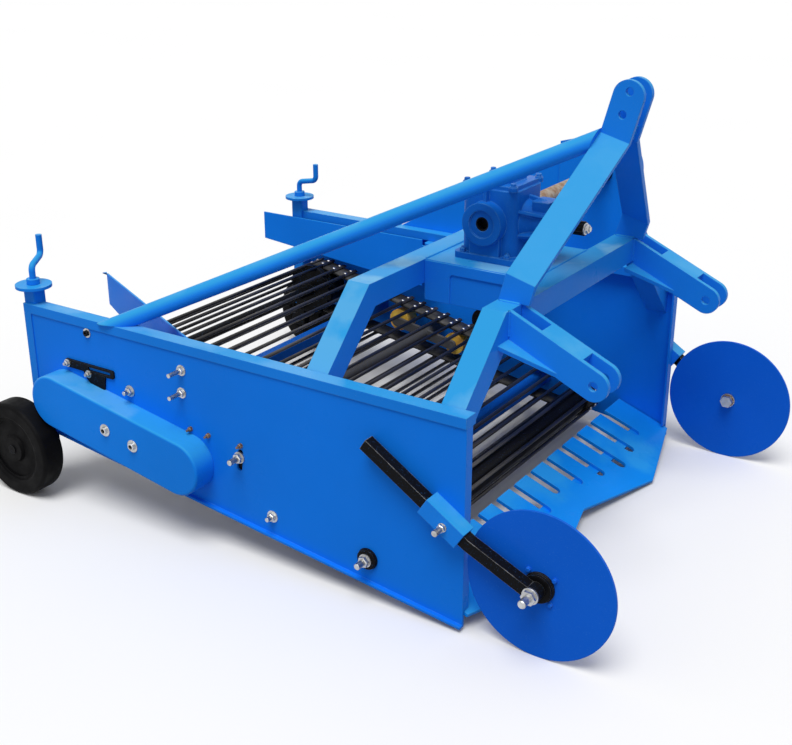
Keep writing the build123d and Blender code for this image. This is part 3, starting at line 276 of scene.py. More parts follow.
# The rails' upward faces are painted paler, with pale blotches, as painted sky reflection.
rail_blue = sheen_enamel(
    "rail enamel", (0.010, 0.225, 0.84), spread=6.0, amount=0.35, sky_sheen=0.7, tone=0.15, wear=0.8
)
give(rail_blue, *both("rail", "rear_post", "crank"))

# --- Welds ----------------------------------------------------------------------------------------
# Fillet welds hold the frame together. Each bead is a rope of overlapping ripples, laid in one
# pass and painted over with the rest.


def tree_of(name, *inputs):
    """A Geometry Nodes tree with the given named inputs; gives it with its two end nodes."""
    tree = bpy.data.node_groups.new(name, "GeometryNodeTree")
    tree.interface.new_socket("Geometry", in_out="INPUT", socket_type="NodeSocketGeometry")
    for label, value in inputs:
        kind = "NodeSocketInt" if isinstance(value, int) else "NodeSocketFloat"
        tree.interface.new_socket(label, in_out="INPUT", socket_type=kind).default_value = value
    tree.interface.new_socket("Finish", in_out="INPUT", socket_type="NodeSocketMaterial")
    tree.interface.new_socket("Geometry", in_out="OUTPUT", socket_type="NodeSocketGeometry")
    return tree, tree.nodes.new("NodeGroupInput"), tree.nodes.new("NodeGroupOutput")


def step(tree, kind, settings=(), **inputs):
    """Adds a node, as made does, and gives its first output."""
    return made(tree, kind, settings, **inputs).outputs[0]


def finish_tree(tree, given, ends, geometry):
    """Ends a tree with Realize Instances and Set Material."""
    whole = step(tree, "GeometryNodeRealizeInstances", Geometry=geometry)
    finish = given.outputs["Finish"]
    painted = step(tree, "GeometryNodeSetMaterial", Geometry=whole, Material=finish)
    fill(tree, ends, Geometry=painted)


def placed(name, mesh, body):
    """A finished mesh as a piece that rides on a body."""
    piece = bpy.data.objects.new(name, mesh)
    bpy.context.scene.collection.objects.link(piece)
    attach(piece, body)
    return piece


def grown(name, seed, tree, body, look, **values):
    """Runs a tree on a seed mesh and keeps a plain mesh; of a look, a slot and a finish, the slot is
    not used.
    """
    slot, finish = look
    start = bpy.data.objects.new(name + "_seed", seed)
    bpy.context.scene.collection.objects.link(start)
    growth = start.modifiers.new("growth", "NODES")
    growth.node_group = tree
    given = {label.replace("_", " "): value for label, value in values.items()}
    given["Finish"] = finish
    for item in tree.interface.items_tree:
        if item.in_out == "INPUT" and item.name in given:
            growth[item.identifier] = given[item.name]
    ready = start.evaluated_get(bpy.context.evaluated_depsgraph_get())
    mesh = bpy.data.meshes.new_from_object(ready)
    start.modifiers.remove(growth)
    bpy.data.objects.remove(start)
    shape = bmesh.new()
    shape.from_mesh(mesh)
    bmesh.ops.recalc_face_normals(shape, faces=shape.faces)
    shape.to_mesh(mesh)
    shape.free()
    return placed(name, mesh, body)


def path_mesh(name, paths):
    """A mesh of open lines, each through its own list of points."""
    mesh = bpy.data.meshes.new(name)
    points, edges = [], []
    for path in paths:
        edges += [(len(points) + i, len(points) + i + 1) for i in range(len(path) - 1)]
        points += path
    mesh.from_pydata(points, edges, [])
    return mesh


bead_tree, bead_given, bead_ends = tree_of(
    "weld bead", ("Bead", 0.004), ("Ripple", 0.0045), ("Step", 0.0012), ("Unevenness", 0.35)
)
bead = bead_given.outputs
bead_line = step(bead_tree, "GeometryNodeMeshToCurve", Mesh=bead["Geometry"])
bead_line = step(
    bead_tree, "GeometryNodeResampleCurve", {"mode": "LENGTH"}, Curve=bead_line, Length=bead["Step"]
)
bead_along = made(bead_tree, "GeometryNodeSplineParameter").outputs["Length"]
in_ripple = maths(bead_tree, "FRACT", maths(bead_tree, "DIVIDE", bead_along, bead["Ripple"]))
bead_noise = made(bead_tree, "ShaderNodeTexNoise", Scale=70.0).outputs["Fac"]
drifting = maths(
    bead_tree, "MULTIPLY", maths(bead_tree, "SUBTRACT", bead_noise, 0.5), bead["Unevenness"]
)
swell = maths(
    bead_tree, "MULTIPLY_ADD", in_ripple, 0.22, maths(bead_tree, "ADD", 0.9, drifting)
)
bead_round = made(bead_tree, "GeometryNodeCurvePrimitiveCircle", Resolution=8, Radius=bead["Bead"])
bead_body = step(
    bead_tree, "GeometryNodeCurveToMesh",
    Curve=step(bead_tree, "GeometryNodeSetCurveRadius", Curve=bead_line, Radius=swell),
    Profile_Curve=bead_round.outputs["Curve"], Scale=swell, Fill_Caps=True,
)
bead_body = step(bead_tree, "GeometryNodeSetShadeSmooth", Geometry=bead_body)
finish_tree(bead_tree, bead_given, bead_ends, bead_body)

front_low, front_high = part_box("front_arch")
rear_low, rear_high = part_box("rear_arch")
base_low, base_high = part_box("gearbox_base")
rail_low, rail_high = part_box("left_rail")
RAILS_TOP = rail_high.z
RAIL_DEPTH = 0.025
LEG_SEAM = RAILS_TOP - 0.008  # where an arch's leg meets the rail's inner face
TUBE = 0.060
BEAM_FOOT = front_high.z - TUBE
STOP = 0.002  # beads end about this far short of a corner
RAIL_LOOK = ("blue_paint", rail_blue)

arch_beads = []
for low, high in ((front_low, front_high), (rear_low, rear_high)):
    for sign in SIDES.values():
        inner = sign * rail_low.y
        arch_beads.append([(low.x, inner, LEG_SEAM), (high.x, inner, LEG_SEAM)])
        for face in (low.x, high.x):
            arch_beads.append(
                [(face, inner, LEG_SEAM - STOP / 2), (face, inner, RAILS_TOP - RAIL_DEPTH)]
            )
arch_lines = path_mesh("arch weld lines", arch_beads)
grown("arch_welds", arch_lines, bead_tree, "frame", RAIL_LOOK, Bead=0.0038)

base_beads = []
for sign in SIDES.values():
    y = sign * base_high.y
    for x in (base_low.x, base_high.x):
        base_beads.append([(x, y, base_high.z - STOP), (x, y, BEAM_FOOT)])
for x in (base_low.x, base_high.x):
    y = base_high.y - 2 * STOP
    base_beads.append([(x, -y, base_high.z), (x, y, base_high.z)])
base_lines = path_mesh("base weld lines", base_beads)
grown("base_welds", base_lines, bead_tree, "frame", RAIL_LOOK, Bead=0.0032)

# --- Arches and gearbox base ----------------------------------------------------------------------
# Both arches are 60 mm square tube, mitred at the corners and welded to the rails. A folded
# 8 mm sheet bridges them and carries the gearbox. Their tops carry painted sky reflection.

arch_blue = sheen_enamel(
    "arch enamel", (0.012, 0.235, 0.88), spread=6.0, amount=0.65, sheen_to=(0.24, 0.56, 0.80),
    sky_sheen=0.8, tone=0.15, wear=0.8,
)
give(arch_blue, "front_arch", "rear_arch", "gearbox_base")


def mesh_of(name, shape, finish):
    """Makes a bmesh a mesh with its faces outwards and its finish on."""
    bmesh.ops.recalc_face_normals(shape, faces=shape.faces)
    mesh = bpy.data.meshes.new(name)
    shape.to_mesh(mesh)
    shape.free()
    mesh.materials.append(finish)
    return mesh


def flat_plate(name, outlines, thickness, body, look, edge=0.0008):
    """Flat plates cut to outlines of points, as thick as the vector that they are pushed along."""
    slot, finish = look
    shape = bmesh.new()
    for outline in outlines:
        face = shape.faces.new([shape.verts.new(point) for point in outline])
        raised = bmesh.ops.extrude_face_region(shape, geom=[face])
        risen = [part for part in raised["geom"] if isinstance(part, bmesh.types.BMVert)]
        bmesh.ops.translate(shape, verts=risen, vec=thickness)
    bmesh.ops.bevel(
        shape, geom=shape.edges[:], offset=edge, segments=2, affect="EDGES", profile=0.5
    )
    return placed(name, mesh_of(name, shape, finish), body)


# Each side wall has a 4 mm plate on it, cut to an L: a strip under the top sheet, and a
# full-height part against the rear arch.
STIFFENER = 0.004
STIFFENER_LOOK = ("blue_paint", arch_blue)
STRIP_FOOT = base_high.z - 0.0285
LEG_FRONT = base_low.x + 0.0725
NOTCH = 0.006
# Its edges lie just inside those of the wall.
top, foot = base_high.z - 0.0015, base_low.z + 0.0005
back, front = base_low.x + 0.0005, base_high.x - 0.0005
stiffener = (
    (back, top), (front, top), (front, STRIP_FOOT), (LEG_FRONT + NOTCH, STRIP_FOOT),
    (LEG_FRONT, STRIP_FOOT - NOTCH), (LEG_FRONT, foot), (back, foot),
)
for side, sign in SIDES.items():
    cut = [(x, sign * base_high.y, z) for x, z in stiffener]
    push = (0, sign * STIFFENER, 0)
    flat_plate(f"{side}_base_stiffener", [cut], push, "frame", STIFFENER_LOOK)

# --- Lower link clevises and mast -----------------------------------------------------------------
# Two 12 mm ears on each side take the tractor's lower links. The mast is two flats folded in
# until they stand side by side, as ears for the top link with a filler block at their root. A
# pipe braces it to the right rail.

# The hitch's upward faces are painted paler, with pale blotches, as painted sky reflection.
hitch_blue = sheen_enamel(
    "hitch enamel", (0.012, 0.24, 0.90), spread=9.0, amount=0.22, sheen_to=(0.16, 0.50, 0.80),
    sky_sheen=0.8, tone=0.12, wear=0.9,
)
give(hitch_blue, *both("lower_clevis", "mast_bar"), "mast_block", "brace_pipe")

EAR = 0.012
MAST_BAR = 0.012
CLEVIS_HALF = 0.035
outer_ear = next(
    mount for mount in frame["record"]["mounts"] if mount["name"] == "lower_link_left_outer_ear"
)
CLEVIS_MIDDLE = outer_ear["pos_m"][1] - CLEVIS_HALF + EAR / 2
mast_low, mast_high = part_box("left_mast_bar")
hitch_beads = []
for sign in SIDES.values():
    for face in (CLEVIS_HALF, -CLEVIS_HALF):
        y = sign * CLEVIS_MIDDLE + face
        hitch_beads.append([(front_high.x, y, BEAM_FOOT), (front_high.x, y, front_high.z)])
    for face in (mast_high.y, mast_high.y - MAST_BAR):
        y = sign * face
        hitch_beads.append(
            [(mast_low.x + 2 * STOP, y, front_high.z), (front_high.x - STOP, y, front_high.z)]
        )
grown(
    "hitch_welds", path_mesh("hitch weld lines", hitch_beads), bead_tree, "frame",
    ("blue_paint", hitch_blue), Bead=0.0035,
)

# --- Share ----------------------------------------------------------------------------------------
# A 9 mm plate with slots that let soil fall through, cut to two points in front and seated on
# a flat bar. Pale blotches on its upward face are painted sky reflection.

share_blue = sheen_enamel(
    "share enamel", (0.006, 0.29, 0.94), spread=4.0, amount=0.45, sheen_to=(0.05, 0.46, 0.90),
    tone=0.3, wear=1.0,
)
give(share_blue, "share", "share_bar")

# --- Fasteners ------------------------------------------------------------------------------------
# Zinc plated bolts, each a washer, a chamfered hexagon and a threaded end. One tree sets them
# on points, each turned at random as it was left by the wrench.


def mottled(name, first, second, blotches, roughness=None, **inputs):
    """Two colours in blotches of (noise, low, high), and a roughness of (noise, least, most)."""
    finish, tree, shader = new_finish(name, **inputs)
    noise, low, high = blotches
    blotch = between(tree, grain(tree, *noise), low, high)
    fill(tree, shader, Base_Color=mixed(tree, blotch, (*first, 1), (*second, 1)))
    if roughness:
        noise, least, most = roughness
        fill(tree, shader, Roughness=between(tree, grain(tree, *noise), 0.3, 0.7, least, most))
    return finish


zinc = mottled(
    "zinc plate", (0.60, 0.61, 0.62), (0.43, 0.42, 0.39), ((60, 4), 0.35, 0.7),
    ((150, 3), 0.30, 0.48), Metallic=1.0,
)
rusty_zinc = mottled(
    "rusty zinc", (0.33, 0.24, 0.17), (0.18, 0.09, 0.045), ((180, 4), 0.4, 0.6),
    ((120, 3), 0.4, 0.7), Metallic=0.6,
)
black_steel = enamel(
    "black steel", (0.006, 0.006, 0.007), worn_and_lit_to=(0.20, 0.20, 0.21), tone=0.5, peel=0.12,
    width=0.0012, wear=0.7,
)
ZINC = ("zinc_steel", zinc)
BLACK = ("black_steel", black_steel)

bolt_tree, bolt_given, bolt_ends = tree_of(
    "hex fasteners",
    ("Across Flats", 0.019),
    ("Head", 0.010),
    ("Washer", 0.015),
    ("Washer Plate", 0.0022),
    ("Stud", 0.006),
    ("Stud Length", 0.018),
    ("Thread", 0.00175),
    ("Seed", 3),
)
sizes = bolt_given.outputs


def lifted(geometry, height):
    """Moves a part of the bolt up its own axis by a height."""
    up = step(bolt_tree, "ShaderNodeCombineXYZ", Z=height)
    return step(bolt_tree, "GeometryNodeTransform", Geometry=geometry, Translation=up)


washer = step(
    bolt_tree, "GeometryNodeMeshCylinder", Vertices=28, Radius=sizes["Washer"],
    Depth=sizes["Washer Plate"],
)
washer = lifted(washer, maths(bolt_tree, "MULTIPLY", sizes["Washer Plate"], 0.5))
corner = maths(bolt_tree, "MULTIPLY", sizes["Across Flats"], 1 / sqrt(3))
prism_height = maths(bolt_tree, "MULTIPLY", sizes["Head"], 0.82)
prism = step(bolt_tree, "GeometryNodeMeshCylinder", Vertices=6, Radius=corner, Depth=prism_height)
prism = lifted(prism, maths(bolt_tree, "MULTIPLY_ADD", prism_height, 0.5, sizes["Washer Plate"]))
chamfer = step(
    bolt_tree, "GeometryNodeMeshCone", Vertices=6, Radius_Bottom=corner,
    Radius_Top=maths(bolt_tree, "MULTIPLY", corner, 0.84),
    Depth=maths(bolt_tree, "MULTIPLY", sizes["Head"], 0.18),
)
chamfer = lifted(chamfer, maths(bolt_tree, "ADD", prism_height, sizes["Washer Plate"]))
stud_line = step(
    bolt_tree, "GeometryNodeCurvePrimitiveLine",
    End=step(bolt_tree, "ShaderNodeCombineXYZ", Z=sizes["Stud Length"]),
)
stud_line = step(
    bolt_tree, "GeometryNodeResampleCurve", {"mode": "LENGTH"}, Curve=stud_line,
    Length=maths(bolt_tree, "MULTIPLY", sizes["Thread"], 0.5),
)
point_number = made(bolt_tree, "GeometryNodeInputIndex").outputs["Index"]
ridge = maths(
    bolt_tree, "MULTIPLY_ADD", maths(bolt_tree, "MODULO", point_number, 2.0), -0.13, 1.0
)
stud_round = made(
    bolt_tree, "GeometryNodeCurvePrimitiveCircle", Resolution=12, Radius=sizes["Stud"]
)
stud = step(
    bolt_tree, "GeometryNodeCurveToMesh",
    Curve=step(bolt_tree, "GeometryNodeSetCurveRadius", Curve=stud_line, Radius=ridge),
    Profile_Curve=stud_round.outputs["Curve"], Scale=ridge, Fill_Caps=True,
)
facing = made(
    bolt_tree, "GeometryNodeInputNamedAttribute", {"data_type": "FLOAT_VECTOR"}, Name="facing"
)
upright = made(
    bolt_tree, "FunctionNodeAlignRotationToVector", {"axis": "Z"},
    Vector=facing.outputs["Attribute"],
)
spin = made(bolt_tree, "FunctionNodeRandomValue", {"data_type": "FLOAT"}, Seed=sizes["Seed"])
spin.inputs[3].default_value = pi / 3
spun = step(bolt_tree, "FunctionNodeAxisAngleToRotation", Axis=(0, 0, 1), Angle=spin.outputs[1])
bolts_set = step(
    bolt_tree, "GeometryNodeInstanceOnPoints",
    Points=sizes["Geometry"],
    Instance=step(
        bolt_tree, "GeometryNodeJoinGeometry", Geometry=[washer, prism, chamfer, stud]
    ),
    Rotation=step(
        bolt_tree, "FunctionNodeRotateRotation", {"rotation_space": "LOCAL"},
        Rotation=upright.outputs["Rotation"], Rotate_By=spun,
    ),
)
finish_tree(bolt_tree, bolt_given, bolt_ends, bolts_set)


def bolted(name, places, facing, body="frame", look=ZINC, **sizes):
    """Bolts of one size at a list of places, all facing one way."""
    mesh = bpy.data.meshes.new(name + " places")
    mesh.from_pydata(places, [], [])
    directions = mesh.attributes.new("facing", "FLOAT_VECTOR", "POINT")
    for number in range(len(places)):
        directions.data[number].vector = facing
    return grown(name, mesh, bolt_tree, body, look, **sizes)


def turned(name, place, facing, profile, body="frame", look=ZINC, sides=32, teeth=0.0):
    """A piece turned from (height, radius) points; teeth makes every other point prouder."""
    slot, finish = look
    axis = Vector(facing).normalized()
    across = axis.orthogonal().normalized()
    beside = axis.cross(across)
    shape = bmesh.new()
    rings = []
    for height, radius in profile:
        ring = []
        for i in range(sides):
            angle = 2 * pi * i / sides
            reach = radius * (1 + teeth * (i % 2))
            out = (across * cos(angle) + beside * sin(angle)) * reach
            ring.append(shape.verts.new(Vector(place) + axis * height + out))
        rings.append(ring)
    for number, ring in enumerate(rings):
        after = rings[(number + 1) % len(rings)]
        for i in range(sides):
            j = (i + 1) % sides
            shape.faces.new((ring[i], ring[j], after[j], after[i]))
    bmesh.ops.remove_doubles(shape, verts=shape.verts, dist=1e-6)
    mesh = mesh_of(name, shape, finish)
    mesh.polygons.foreach_set("use_smooth", [True] * len(mesh.polygons))
    mesh.set_sharp_from_angle(angle=radians(35))
    return placed(name, mesh, body)


def flat_ring(height, bore, radius, edge=0.0004):
    """The profile of a flat ring with broken edges."""
    return [
        (0, bore), (0, radius - edge), (edge, radius), (height - edge, radius),
        (height, radius - edge), (height, bore),
    ]


PLATE_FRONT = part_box("left_side_plate")[1].x
PLATE_FACE = 0.600
PLATE_INSIDE = 0.594


def on_plate(side, place, proud=0.0):
    """A point on a plate's outer face, from how far back and how far below the rails' top it is."""
    back, drop = place
    return (PLATE_FRONT - back, SIDES[side] * (PLATE_FACE + proud), RAILS_TOP - drop)


LOWER_BOLT, UPPER_BOLT = (0.532, 0.391), (0.982, 0.167)
SMALL_NUTS = ((0.724, 0.225), (0.782, 0.222), (0.6224, 0.226))
HINGE_BOLTS = ((0.800, 0.070), (0.803, 0.130))
TENSION_BOLT, TENSION_BLOCK = (0.627, 0.258), (0.627, 0.266)
BLOCK_DEPTH, BLOCK_RADIUS = 0.006, 0.040
RAIL_SCREW = (1.119, 0.038)
RAIL_WASHER = 0.003
for side, sign in SIDES.items():
    out = (0, sign, 0)
    # The left chain case covers the left plate's upper bolts, so only the right plate shows them.
    plain = [LOWER_BOLT, UPPER_BOLT] if side == "right" else [LOWER_BOLT]
    bolted(
        f"{side}_plate_bolts", [on_plate(side, place) for place in plain], out,
        Across_Flats=0.019, Washer=0.0155, Stud_Length=0.024, Seed=5,
    )
    bolted(
        f"{side}_small_nuts", [on_plate(side, place) for place in SMALL_NUTS], out,
        look=("rusty_steel", rusty_zinc), Across_Flats=0.011, Head=0.007, Washer=0.0065,
        Washer_Plate=0.001, Stud=0.0032, Stud_Length=0.016, Seed=12,
    )
    if side == "right":
        bolted(
            "right_hinge_bolts", [on_plate(side, place) for place in HINGE_BOLTS], out,
            Across_Flats=0.017, Head=0.009, Washer=0.014, Stud=0.0055, Stud_Length=0.046, Seed=8,
        )
    # The web is stretched by a bolt in the slot, which pulls a round block inside the plate.
    bolted(
        f"{side}_tension_bolt", [on_plate(side, TENSION_BOLT)], out, Across_Flats=0.022,
        Head=0.012, Washer=0.0150, Washer_Plate=0.004, Stud=0.0075, Stud_Length=0.040, Seed=2,
    )
    turned(
        f"{side}_tension_block", on_plate(side, TENSION_BLOCK, PLATE_INSIDE - PLATE_FACE),
        (0, -sign, 0),
        [(0.0002, 0), *flat_ring(BLOCK_DEPTH, 0, BLOCK_RADIUS)[1:-1], (BLOCK_DEPTH, 0)],
        look=BLACK, sides=40,
    )
    # A socket screw near the rail, on a bright washer.
    turned(
        f"{side}_rail_washer", on_plate(side, RAIL_SCREW), out, flat_ring(RAIL_WASHER, 0, 0.0125)
    )
    turned(
        f"{side}_rail_screw", on_plate(side, RAIL_SCREW, RAIL_WASHER), out,
        [(0, 0), (0, 0.008), (0.005, 0.008), (0.005, 0.0045), (0.001, 0.004), (0.001, 0)],
        look=BLACK,
    )

# --- Web, rollers and shafts ----------------------------------------------------------------------
# The web is steel rods riveted across two rubber belts. It runs over a front roller and a
# driven rear drum, and two pairs of nylon rollers on a rocking shaft shake soil out of it.

rubber = mottled(
    "belt rubber", (0.012, 0.012, 0.013), (0.07, 0.065, 0.06), ((30, 5), 0.45, 0.75),
    ((40,), 0.55, 0.8),
)


def roughen(finish, strength, distance, height):
    """Bumps a finish by a height in its node tree."""
    tree = finish.node_tree
    bump = made(tree, "ShaderNodeBump", Strength=strength, Distance=distance, Height=height)
    fill(tree, tree.nodes["Principled BSDF"], Normal=bump.outputs["Normal"])


tree = rubber.node_tree
warp, weft = grain(tree, 260, 2, (1, 0.2, 1)), grain(tree, 260, 2, (0.2, 1, 0.2))
roughen(rubber, 0.5, 0.001, maths(tree, "MULTIPLY", warp, weft))

rod_steel = mottled(
    "rod steel", (0.014, 0.013, 0.013), (0.085, 0.08, 0.076), ((25, 5, (1, 0.12, 1)), 0.42, 0.7),
    ((50, 4, (1, 0.15, 1)), 0.28, 0.5), Metallic=0.3,
)
nylon = mottled(
    "yellow nylon", (0.95, 0.62, 0.08), (0.78, 0.38, 0.06), ((22, 5), 0.4, 0.65), Roughness=0.45
)
dull_steel = enamel(
    "dull steel", (0.085, 0.085, 0.088), worn_and_lit_to=(0.24, 0.24, 0.24), tone=0.5, peel=0.3, width=0.001
)
tube_blue = enamel("tube enamel", (0.006, 0.13, 0.60), tone=0.3)
give(nylon, "shaker_rollers")
give(black_steel, "front_roller", "drive_shaft")
give(dull_steel, "shaker_shaft")
give(tube_blue, "front_cross_tube", "rear_cross_tube")


def middle_of(node):
    """The middle of a CAD node's box."""
    low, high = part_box(node)
    return (low + high) / 2


FRONT_CENTRE = middle_of("front_roller")
DRIVE_CENTRE = middle_of("drive_shaft")
ROD = 0.011
ROD_PITCH = 0.046
ROD_SUNK = 0.002  # into the belt
ROD_END = 0.006  # past the belt's outer edge
BELT = 0.008
BELT_WIDTH = 0.060
BELT_GAP = 0.002  # from a belt's inner edge to where the rods are round
DRUM_TEETH = 11
ROD_RISE = BELT + ROD / 2 - ROD_SUNK
FRONT_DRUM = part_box("front_roller")[1].z - FRONT_CENTRE.z
DRIVE_DRUM = DRUM_TEETH * ROD_PITCH / (2 * pi) - ROD_RISE
WEB_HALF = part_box("rod_web")[1].y
BELT_MIDDLE = WEB_HALF - ROD_END - BELT_WIDTH / 2


def loop(rise, parts=56):
    """The closed line that runs this far outside both drums, from the front drum's top."""
    back = DRIVE_CENTRE - FRONT_CENTRE
    spread = Vector((back.x, 0, back.z))
    along = spread.normalized()
    above = Vector((along.z, 0, -along.x))
    flare = asin((DRIVE_DRUM - FRONT_DRUM) / spread.length)
    line = []
    for centre, drum, first, last in (
        (DRIVE_CENTRE, DRIVE_DRUM, -flare, pi + flare),
        (FRONT_CENTRE, FRONT_DRUM, pi + flare, 2 * pi - flare),
    ):
        for i in range(parts + 1):
            angle = first + (last - first) * i / parts
            out = (above * cos(angle) + along * sin(angle)) * (drum + rise)
            line.append(Vector((centre.x, 0, centre.z)) + out)
    return line[-1:] + line[:-1]


def loop_mesh(name, rise, y=0.0):
    """That line as a closed ring of edges, this far to the left."""
    line = [(point.x, y, point.z) for point in loop(rise)]
    mesh = bpy.data.meshes.new(name)
    mesh.from_pydata(line, [(i, (i + 1) % len(line)) for i in range(len(line))], [])
    return mesh


def set_along(tree, given, thing, **how):
    """Sets a thing at even steps along a tree's line, turned to follow it."""
    line = step(tree, "GeometryNodeMeshToCurve", Mesh=given["Geometry"])
    places = made(tree, "GeometryNodeCurveToPoints", Curve=line, Count=given["Count"]).outputs
    turn = step(
        tree, "FunctionNodeAlignRotationToVector", {"axis": "X"}, Vector=places["Tangent"]
    )
    return step(
        tree, "GeometryNodeInstanceOnPoints", Points=places["Points"], Instance=thing,
        Rotation=turn, **how,
    )


# Each rod is round between the belts, and its ends are flattened where the rivets go through.
rods_tree, rods_given, rods_ends = tree_of(
    "web rods", ("Count", 51), ("Rod", 0.0055), ("Between Belts", 0.996), ("Over All", 1.128)
)
rod = rods_given.outputs
LYING = (pi / 2, 0, 0)
long_rod = step(
    rods_tree, "GeometryNodeMeshCylinder", Vertices=14, Radius=rod["Rod"],
    Depth=rod["Between Belts"],
)
long_rod = step(rods_tree, "GeometryNodeTransform", Geometry=long_rod, Rotation=LYING)
long_rod = step(rods_tree, "GeometryNodeSetShadeSmooth", Geometry=long_rod)
both_ends = maths(rods_tree, "SUBTRACT", rod["Over All"], rod["Between Belts"])
end_length = maths(rods_tree, "MULTIPLY", both_ends, 0.5)
both_middles = maths(rods_tree, "ADD", rod["Over All"], rod["Between Belts"])
end_middle = maths(rods_tree, "MULTIPLY", both_middles, 0.25)
rod_ends = []
for way in SIDES.values():
    flat_end = step(
        rods_tree, "GeometryNodeMeshCylinder", Vertices=14, Radius=rod["Rod"], Depth=end_length
    )
    moved = step(rods_tree, "ShaderNodeCombineXYZ", Z=maths(rods_tree, "MULTIPLY", end_middle, way))
    flat_end = step(
        rods_tree, "GeometryNodeTransform", Geometry=flat_end, Translation=moved,
        Scale=(1.35, 0.7, 1.0),
    )
    rod_ends.append(step(rods_tree, "GeometryNodeTransform", Geometry=flat_end, Rotation=LYING))
one_rod = step(rods_tree, "GeometryNodeJoinGeometry", Geometry=[long_rod, *rod_ends])
finish_tree(rods_tree, rods_given, rods_ends, set_along(rods_tree, rod, one_rod))

rod_line = loop(ROD_RISE)
rod_line_length = sum((rod_line[i] - rod_line[i - 1]).length for i in range(len(rod_line)))
rod_count = round(rod_line_length / ROD_PITCH)
rods = grown(
    "web_rods", loop_mesh("rod line", ROD_RISE), rods_tree, "frame", ("black_steel", rod_steel),
    Count=rod_count, Rod=ROD / 2, Between_Belts=2 * BELT_MIDDLE - BELT_WIDTH - 2 * BELT_GAP,
    Over_All=2 * WEB_HALF,
)

belt_tree, belt_given, belt_ends = tree_of("belt", ("Width", 0.060), ("Thickness", 0.008))
belt = belt_given.outputs
belt_section = made(
    belt_tree, "GeometryNodeCurvePrimitiveQuadrilateral", Width=belt["Width"],
    Height=belt["Thickness"],
)
belt_body = step(
    belt_tree, "GeometryNodeCurveToMesh",
    Curve=step(belt_tree, "GeometryNodeMeshToCurve", Mesh=belt["Geometry"]),
    Profile_Curve=belt_section.outputs["Curve"],
)
finish_tree(belt_tree, belt_given, belt_ends, belt_body)

rivet_tree, rivet_given, rivet_ends = tree_of("rivets", ("Count", 51), ("Head", 0.0065))
dome = step(
    rivet_tree, "GeometryNodeMeshUVSphere", Segments=10, Rings=6, Radius=rivet_given.outputs["Head"]
)
dome = step(rivet_tree, "GeometryNodeSetShadeSmooth", Geometry=dome)
rivets_set = set_along(rivet_tree, rivet_given.outputs, dome, Scale=(1, 1, 0.55))
finish_tree(rivet_tree, rivet_given, rivet_ends, rivets_set)

RIVET_ROWS = (0.016, -0.016)  # from the belt's middle
RIVET_RISE = ROD_RISE + 0.0025  # set into the flattened rod ends
for side, sign in SIDES.items():
    middle = sign * BELT_MIDDLE
    grown(
        f"{side}_web_belt", loop_mesh("belt line", BELT / 2, middle), belt_tree, "frame",
        ("black_rubber", rubber), Width=BELT_WIDTH, Thickness=BELT,
    )
    for row, off_middle in enumerate(RIVET_ROWS, start=1):
        grown(
            f"{side}_web_rivets_{row}", loop_mesh("rivet line", RIVET_RISE, middle + off_middle),
            rivet_tree, "frame", ZINC, Count=rod_count, Head=0.006,
        )
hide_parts("rod_web")

# --- Gearbox and drive ----------------------------------------------------------------------------
# A cast iron bevel box, rough from the sand and painted over. Its shaft crosses to the left
# plate, where a chain under a welded sheet case drives the web.

casting_blue = enamel(
    "casting enamel", (0.007, 0.14, 0.55), tone=0.4, peel=0.8, peel_scale=330, width=0.004, wear=0.8
)
# The case's upward faces are painted paler, with pale blotches, as painted sky reflection.
case_blue = sheen_enamel(
    "case enamel", (0.007, 0.235, 0.90), spread=5.0, amount=0.3, sky_sheen=0.75, tone=0.15,
    width=0.004,
)
rust = mottled(
    "rusty shaft", (0.42, 0.35, 0.28), (0.28, 0.16, 0.09), ((45, 6), 0.4, 0.6),
    ((90, 4), 0.4, 0.75), Metallic=0.35,
)
give(casting_blue, "gearbox")
give(case_blue, *both("chain_case"), "drive_plate")
give(black_steel, "drive_bearing", "pto_shaft")
give(rust, "output_shaft")

CASTING = ("blue_casting", casting_blue)
shaft = middle_of("output_shaft")
COVER_HALF = (0.0635, 0.0655)
COVER_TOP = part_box("gearbox")[1].z - 0.009
FOOT_HALF = (0.062, 0.0835)
FOOT_TOP = base_high.z + 0.016


def four_corners(half, seat):
    """Places at the corners of a rectangle round the output shaft, from its half sides."""
    return [(shaft.x + x, y, seat) for x in (-half[0], half[0]) for y in (-half[1], half[1])]


bolted(
    "cover_bolts", four_corners(COVER_HALF, COVER_TOP), (0, 0, 1), look=CASTING,
    Across_Flats=0.013, Head=0.007, Washer=0.009, Stud=0.004, Stud_Length=0.007, Seed=4,
)
bolted(
    "foot_bolts", four_corners(FOOT_HALF, FOOT_TOP), (0, 0, 1), look=CASTING,
    Across_Flats=0.013, Head=0.008, Washer=0.008, Stud=0.004, Stud_Length=0.014, Seed=9,
)
FLANGE_BACK = 0.152  # its rear face, ahead of the output shaft
FLANGE_RING = 0.0485  # radius of its circle of bolts
flange_turns = [radians(30 + 60 * i) for i in range(6)]
bolted(
    "flange_bolts",
    [
        (shaft.x + FLANGE_BACK, FLANGE_RING * sin(turn), shaft.z + FLANGE_RING * cos(turn))
        for turn in flange_turns
    ],
    (-1, 0, 0), look=CASTING, Across_Flats=0.010, Head=0.006, Washer=0.006, Stud=0.003,
    Stud_Length=0.006, Seed=6,
)

